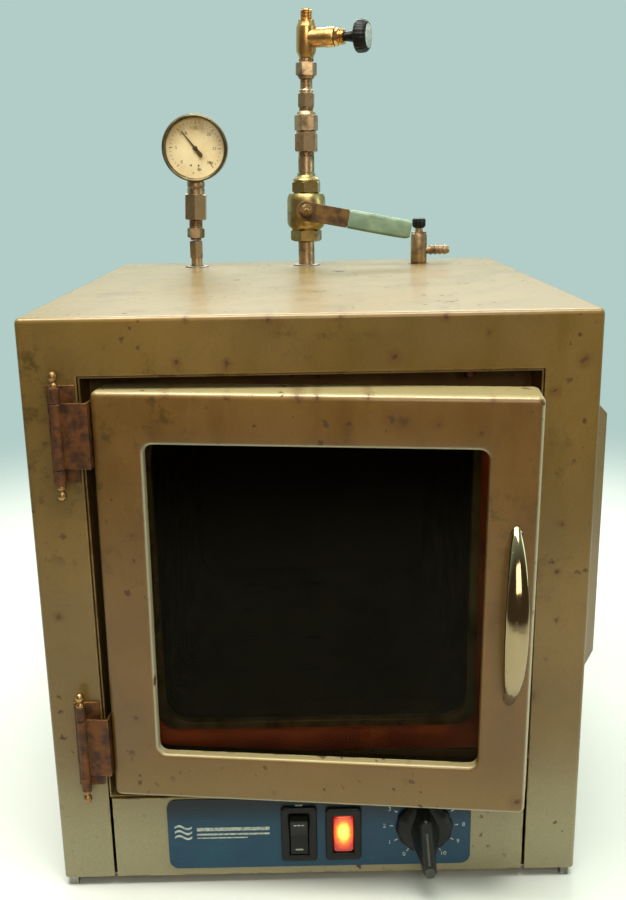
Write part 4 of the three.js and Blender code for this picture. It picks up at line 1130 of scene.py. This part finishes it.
def build_gauge():
    foot = GAUGE["foot"]
    pipe = Piece("gauge.pipe", "cabinet").add(bent_pipe(GAUGE["x"], 6, foot - 18))
    pipe.add(hexagon(15, CABINET_HEIGHT + foot - 18.5, CABINET_HEIGHT + foot, start=math.pi / 6),
             moved(GAUGE["x"], PORT_Y, 0))
    pipe.finish(OLD_BRASS, replaces=["gauge_pipe"], slot="aged_brass", sharp=28)
    fitting("gauge.bushing", "gauge_bushing", GAUGE_FRAME,
            hexagon(18.6, 3, 13.5), thread(7.4, 13, 21.5), thread(6.0, 0.8, 3.4))
    fitting("gauge.coupling", "gauge_coupling", GAUGE_FRAME,
            hexagon(24.8, 22, 49, start=math.pi / 6), turned([(0, 48), (9.2, 48), (9.2, 55), (0, 55)]))
    radius = GAUGE["radius"]
    can = [(0, -14), (radius - 4, -14), (radius - 1.2, -13), (radius, -11), (radius, 11), (radius - 2, 11),
           (radius - 2, 4), (0, 4)]
    case = Piece("gauge.case", "cabinet", GAUGE_FRAME)
    case.add(turned(can, 72), moved(z=GAUGE["centre"]) @ FACING_FRONT)
    neck = [(0, 55.2), (6, 55.2), (8.6, 55.4), (9.4, 57), (9.4, 61), (8.6, 62.4), (0, 66)]
    case.add(turned(neck, 32))
    case.finish(OLD_BRASS, replaces=["gauge_case"], slot="aged_brass", sharp=38)
    rim = [(radius - 2.6, 11.6), (radius + 0.3, 11.6), (radius + 0.8, 12.2), (radius + 0.8, 14.8),
           (radius + 0.2, 15.9), (radius - 0.8, 16.5), (radius - 1.8, 16.0), (radius - 2.4, 14.6),
           (radius - 2.6, 13.0)]
    fitting("gauge.bezel", "gauge_bezel", GAUGE_FACE, turned(rim, 72, closed=True), look=RIM_BRASS, sharp=38)
    build_gauge_face(radius)


def build_gauge_face(radius):
    face = 6.5
    rim = radius - 2.3
    plate = [(0, face - 1.5), (rim, face - 1.5), (rim, face - 0.3), (rim - 0.4, face), (0, face)]
    fitting("gauge.dial", "gauge_dial", GAUGE_FACE, turned(plate, 64), look=DIAL, slot="cream_dial", sharp=32)
    marks = Piece("gauge.marks", "cabinet", GAUGE_FACE)
    sweep = 270
    ticks = 30
    for i in range(ticks + 1):
        angle = math.radians(sweep / 2 - sweep * i / ticks)
        long_tick = i % 5 == 0
        turn = Matrix.Rotation(-angle, 4, "Z")
        reach = radius - 6.2
        length = 3.4 if long_tick else 1.8
        width = 0.34 if long_tick else 0.2
        marks.add(box(-width, width, reach - length, reach, face - 0.05, face + 0.12), turn)
        if long_tick:
            spot = 20.2
            number = moved(spot * math.sin(angle), spot * math.cos(angle), face + 0.06)
            marks.add(text_solid(str(ticks - i), 4.6), number @ FACING_BACK)
    for x in (-4.4, 3.6):
        dot = turned([(0, face - 0.1), (1.0, face - 0.1), (1.0, face + 0.2), (0, face + 0.2)], 16)
        marks.add(dot, moved(x, -17.5))
    marks.finish(DARK_INK, sharp=50)
    half_pointer = [(0.3, 22), (0.9, 3), (1.9, -4), (2.3, -9), (1.5, -11)]
    pointer = half_pointer + [(-px, py) for px, py in reversed(half_pointer)]
    lean = Matrix.Rotation(math.radians(40), 4, "Z")
    needle = Piece("gauge.needle", "needle", GAUGE_FACE)
    needle.add(loft([[(px, py, z) for px, py in pointer] for z in (7.3, 7.9)]), lean)
    needle.add(turned([(0, 6.9), (2.6, 6.9), (2.6, 8.2), (1.8, 8.9), (0, 9.0)], 24))
    needle.finish(NEEDLE, replaces=["gauge_needle"], slot="black_plastic", bevel=0.1)
    glass = [(0, 9.6), (rim, 9.6), (rim, 10.8), (radius - 8, 11.5), (0, 12.2)]
    fitting("gauge.lens", "gauge_lens", GAUGE_FACE, turned(glass, 64),
            look=DIAL_GLASS, slot="clear_glass", sharp=60)


def build_ball_valve():
    body = Piece("valve.body", "cabinet", LINE_FRAME)
    cast = [(0, 12.6), (14.5, 12.6), (16.5, 14), (19, 16.4), (20.4, 20), (20.4, 44), (19.8, 47.6),
            (18, 50.6), (0, 51.6)]
    body.add(turned(cast, 64)).add(hexagon(34, 0.6, 13.2, start=0.2)).add(hexagon(32, 51, 63.5, start=0.35))
    body.add(turned([(0, 63), (14, 63), (14.2, 64.6), (12.6, 66.8), (10.4, 68.2), (9.6, 69.6),
                     (9.6, 71.5), (0, 71.5)]))
    body.add(turned([(0, 10), (9.4, 10), (9.4, 22), (8.6, 24), (7.4, 24.2), (7.4, 25.6), (0, 26)], 40),
             moved(z=LINE["stem"]) @ FACING_FRONT)
    body.finish(OLIVE_BRASS, replaces=["ball_valve_body"], slot="brass", sharp=30)


def lever_outline():
    """A round eye and a shank, narrower where the grip covers it."""
    half, grip, length = 9.5, LEVER["grip"], LEVER["length"]
    eye = arc(0, 0, 10.5, 270, 90, 16)
    shank = [(14, half), (grip - 1, half), (grip, half - 2), (length - 4, half - 2)]
    return eye + shank + [(px, -pz) for px, pz in reversed(shank)]


def build_lever():
    strip = Piece("lever.strip", "valve_handle", LEVER_FRAME)
    strip.add(prism(lever_outline(), -1.25, 1.25))
    strip.finish(LEVER_RUST, replaces=["valve_lever"], slot="rusty_steel", bevel=0.5, segments=3)
    length, start = LEVER["length"], LEVER["grip"]
    rings = []
    for share in (0.0, 0.015, 0.05, 0.3, 0.55, 0.8, 0.93, 0.975, 1.0):
        ease = 2.2 * max(0.0, (share - 0.9) / 0.1) ** 2 + (0.8 if share == 0 else 0)
        swell = 0.25 * math.sin(math.pi * share)
        thick, tall = 3.7 - ease * 0.8 + swell * 0.4, 9.7 - ease + swell
        outline = rounded_rectangle(thick, tall, min(3.2, thick - 0.1), 5)
        rings.append([(start + (length - start) * share, py, pz) for py, pz in outline])
    sleeve = Piece("lever.grip", "valve_handle", LEVER_FRAME).add(loft(rings))
    sleeve.finish(VINYL, replaces=["lever_grip"], slot="green_vinyl", sharp=50)
    nut = Piece("lever.nut", "valve_handle", LEVER_FRAME)
    nut.add(turned([(0, 1.55), (7, 1.55), (7, 2.7), (6.6, 3), (0, 3)], 32), FACING_FRONT)
    nut.add(hexagon(12, 2.8, 7.4), FACING_FRONT).add(thread(3, 7, 10.4, 1.0, 0.4), FACING_FRONT)
    nut.finish(LEVER_RUST, replaces=["lever_nut"], slot="rusty_steel", sharp=28)


def build_line():
    """The pieces of the vacuum line above the ball valve, from its foot upwards."""
    fitting("line.pipe", "vacuum_pipe", OVEN, bent_pipe(LINE["x"], 8.6, LINE["foot"]), sharp=50)
    fitting("line.nipple", "line_nipple", LINE_FRAME,
            turned([(0, 71.6), (6, 71.6), (8.5, 72.0), (8.5, 88), (0, 88)], 40),
            thread(8.5, 87.8, 93, 1.5, 0.7))
    fitting("line.union_lower", "union_nut_lower", LINE_FRAME,
            hexagon(25, 93.3, 112.6, start=0.3),
            turned([(0, 112), (10.4, 112), (10.4, 114), (0, 114)], 40))
    fitting("line.union_upper", "union_nut_upper", LINE_FRAME,
            hexagon(25, 114.3, 131, start=0.12),
            turned([(0, 130.5), (10.6, 130.5), (9.6, 133.2), (8.4, 134.5), (0, 134.5)], 40))
    fitting("line.reducer", "line_reducer", LINE_FRAME,
            thread(7.6, 134.8, 138.2, 1.2, 0.6),
            hexagon(18.5, 138, 152.6, start=0.4),
            turned([(0, 152), (7.4, 152), (7.4, 155), (6.5, 156.2), (6.5, 158), (0, 158)], 36),
            thread(6.6, 157.8, 166, 1.3, 0.6))
    fitting("line.tube_nut", "tube_nut", LINE_FRAME,
            turned([(0, 166.3), (7.4, 166.3), (9.2, 169.4), (0, 170)], 40),
            hexagon(22, 169.2, 182.8, start=0.1),
            thread(8, 182.6, 186, 1.2, 0.6))


def build_needle_valve():
    body = Piece("needle_valve.body", "cabinet", LINE_FRAME)
    column = [(0, 186.4), (7.5, 186.4), (7.8, 188), (10.3, 193.4), (10.3, 215.6), (9.8, 218), (8.2, 221.4),
              (8.2, 223.5), (6.4, 224.2), (0, 224.4)]
    body.add(turned(column, 48)).add(thread(6.2, 224.2, 233, 1.4, 0.7))
    body.add(turned([(0, 232.8), (5.4, 232.8), (5.0, 234), (2.6, 234), (2.6, 231), (0, 231)], 32))
    body.add(turned([(0, 0), (9.4, 0), (9.4, 21), (9.8, 22), (9.8, 29.6), (9.2, 31), (0, 31)], 40),
             LINE_FRAME.inverted() @ ARM_FRAME)
    body.finish(BRASS, replaces=["needle_valve_body"], slot="brass", sharp=34)
    fitting("needle_valve.packing_nut", "packing_nut", ARM_FRAME,
            hexagon(18, 31.3, 35.6),
            turned([(0, 35), (6.8, 35), (6.8, 36.4), (0, 36.4)], 32),
            thread(7.8, 36.2, 41.5, 1.7, 1.0), look=BRASS, slot="brass")
    knob = Piece("needle_valve.knob", "valve_knob", ARM_FRAME)
    stem = [(0, 42), (4.5, 42), (4.8, 45), (5.6, 50), (8.4, 51.8), (12.6, 53.6)]
    knob.add(turned(stem + [(0, 54)], 48))
    knob.add(turned([(0, 53.4), (13.4, 53.4), (15.4, 54.6), (16.3, 56.6), (16.3, 61), (15.6, 64),
                     (14, 66.2), (12.6, 66.8), (12.4, 66.2), (0, 66.2)], 96, waves=24, depth=0.5))
    knob.finish(BLACK, replaces=["needle_valve_knob"], slot="black_plastic", sharp=38)
    badge = Piece("needle_valve.badge", "valve_knob", ARM_FRAME)
    badge.add(turned([(0, 66.0), (11.8, 66.0), (11.8, 66.7), (11, 67), (0, 67)], 48))
    badge.finish(INK)


def build_vent():
    fitting("vent.pipe", "vent_pipe", OVEN, bent_pipe(VENT_X, 6, -2), sharp=50)
    body = Piece("vent.body", "cabinet", VENT_FRAME)
    body.add(turned([(0, -1.7), (7, -1.7), (7, 0.4), (8.2, 0.6), (8.7, 1.4), (8.7, 29), (8, 31.4),
                     (6.5, 32.6), (4, 33.4), (4, 37), (0, 37)], 40))
    body.add(hexagon(16.2, 31, 33.6))
    barb = [(0, 5), (4.2, 5), (4.2, 12)]
    for ridge in range(4):
        start = 12 + ridge * 5
        barb += [(5.3, start), (5.3, start + 0.7), (4.0, start + 4.6)]
    barb += [(3.6, 32.4), (3.2, 33), (1.9, 33), (1.9, 30), (0, 30)]
    body.add(turned(barb, 32), moved(z=14) @ FACING_RIGHT)
    body.finish(OLD_BRASS, replaces=["vent_valve_body"], slot="aged_brass", sharp=34)
    cap = Piece("vent.knob", "bleed_knob", VENT_FRAME)
    cap.add(turned([(0, 37.4), (5, 37.4), (6.4, 38.6), (7.2, 40), (7.2, 45.4), (6.6, 47.2), (5, 48),
                    (0, 48)], 64, waves=16, depth=0.5))
    cap.finish(BLACK, replaces=["vent_knob"], slot="black_plastic", sharp=38)


def build_roof_washers():
    """Thin flange washers where the pipes come through the roof."""
    washers = Piece("roof.washers", "cabinet")
    for x, bore, radius in ((GAUGE["x"], 8, 12.5), (LINE["x"], 9, 14.5)):
        ring = [(bore, 0.1), (radius, 0.1), (radius, 0.9), (radius - 0.5, 1.3), (bore, 1.3)]
        washers.add(turned(ring, 40, closed=True), moved(x, PORT_Y, CABINET_HEIGHT))
    washers.finish(STEEL, slot="bare_steel", sharp=40)


# ---- stage ----

CAMERA = {"place": Vector((-0.00845, -0.91346, 0.56272)), "yaw": 0.24, "pitch": -15.128, "roll": -0.983,
          "lens": 40.557}


def build_camera():
    yaw, pitch, roll = (math.radians(CAMERA[key]) for key in ("yaw", "pitch", "roll"))
    ahead = Vector((math.sin(yaw) * math.cos(pitch), math.cos(yaw) * math.cos(pitch), math.sin(pitch)))
    level = Vector((math.cos(yaw), -math.sin(yaw), 0))
    above = level.cross(ahead)
    right = level * math.cos(roll) + above * math.sin(roll)
    up = above * math.cos(roll) - level * math.sin(roll)
    camera = bpy.data.objects.new("camera", bpy.data.cameras.new("camera"))
    camera.data.lens = CAMERA["lens"]
    camera.data.sensor_width = 36
    camera.data.clip_start = 0.01
    facing = Matrix((right, up, -ahead)).transposed().to_4x4()
    camera.matrix_world = Matrix.Translation(CAMERA["place"]) @ facing
    bpy.context.scene.collection.objects.link(camera)
    bpy.context.scene.camera = camera


def soft_light(name, place, target, size, power, tint=(1, 1, 1)):
    lamp = bpy.data.lights.new(name, "AREA")
    lamp.shape = "RECTANGLE"
    lamp.size, lamp.size_y = size
    lamp.energy = power
    lamp.color = tint
    holder = bpy.data.objects.new(name, lamp)
    holder.location = place
    holder.rotation_euler = (Vector(target) - Vector(place)).to_track_quat("-Z", "Y").to_euler()
    bpy.context.scene.collection.objects.link(holder)


FLOOR_REACH = 6.0
FLOOR_FADE = (0.75, 1.5)


def build_stage():
    """A pale round of floor that fades into the room, and soft lights."""
    data = bpy.data.meshes.new("floor")
    signs = ((-1, -1), (1, -1), (1, 1), (-1, 1))
    data.from_pydata([(x * FLOOR_REACH, y * FLOOR_REACH, 0) for x, y in signs], [], [(0, 1, 2, 3)])
    s = Shader("floor_finish")
    s.set("Base Color", s.mix(s.noise(3, 3), (208, 210, 204), (202, 206, 200)))
    s.set("Roughness", s.blend(s.noise(40, 3), 0.5, 0.6))
    middle = s.make("ShaderNodeVectorMath", operation="LENGTH")
    s.feed(middle.inputs[0], s.place)
    s.set("Alpha", s.ease(middle.outputs["Value"], FLOOR_FADE[1], FLOOR_FADE[0]))
    data.materials.append(s.material)
    floor = bpy.data.objects.new("floor", data)
    bpy.context.scene.collection.objects.link(floor)
    build_world()
    soft_light("overhead", (-0.12, -0.40, 1.80), (0.02, -0.10, 0.3), (1.5, 0.6), 52, (1, 0.96, 0.88))
    soft_light("behind", (0.1, 1.3, 1.5), (0, 0.1, 0.45), (1.4, 0.8), 22, (1, 0.98, 0.94))
    soft_light("front_fill", (0.2, -1.9, 1.2), (0, 0, 0.25), (0.8, 0.9), 14, (1, 0.90, 0.74))
    soft_light("right_side", (1.7, -0.2, 0.9), (0, 0, 0.2), (0.6, 1.2), 8, (0.78, 1, 0.94))
    bpy.context.scene.view_settings.view_transform = "Standard"


def build_world():
    """A pale room behind and above the oven, and a dim warm one in front of it."""
    world = bpy.data.worlds.new("studio")
    bpy.context.scene.world = world
    world.use_nodes = True
    nodes, links = world.node_tree.nodes, world.node_tree.links
    place = nodes.new("ShaderNodeTexCoord").outputs["Generated"]
    split = nodes.new("ShaderNodeSeparateXYZ")
    links.new(place, split.inputs[0])
    lean = nodes.new("ShaderNodeMath")
    lean.operation = "MULTIPLY_ADD"
    links.new(split.outputs["Z"], lean.inputs[0])
    lean.inputs[1].default_value = 0.7
    links.new(split.outputs["Y"], lean.inputs[2])
    share = nodes.new("ShaderNodeMapRange")
    share.interpolation_type = "SMOOTHSTEP"
    links.new(lean.outputs[0], share.inputs["Value"])
    share.inputs["From Min"].default_value = -0.35
    share.inputs["From Max"].default_value = 0.45
    shade = nodes.new("ShaderNodeMix")
    shade.data_type = "RGBA"
    links.new(share.outputs["Result"], shade.inputs[0])
    shade.inputs[6].default_value = colour((92, 80, 66))
    shade.inputs[7].default_value = colour((178, 205, 199))
    links.new(shade.outputs[2], nodes["Background"].inputs[0])


def build_oven():
    build_cabinet()
    build_screws()
    build_back_details()
    build_inlet()
    build_chamber()
    build_door()
    build_handle()
    build_hinges()
    build_label()
    build_rocker()
    build_lamp()
    build_knob()
    build_thermostat()
    build_gauge()
    build_ball_valve()
    build_lever()
    build_line()
    build_needle_valve()
    build_vent()
    build_roof_washers()


build_oven()
build_camera()
build_stage()
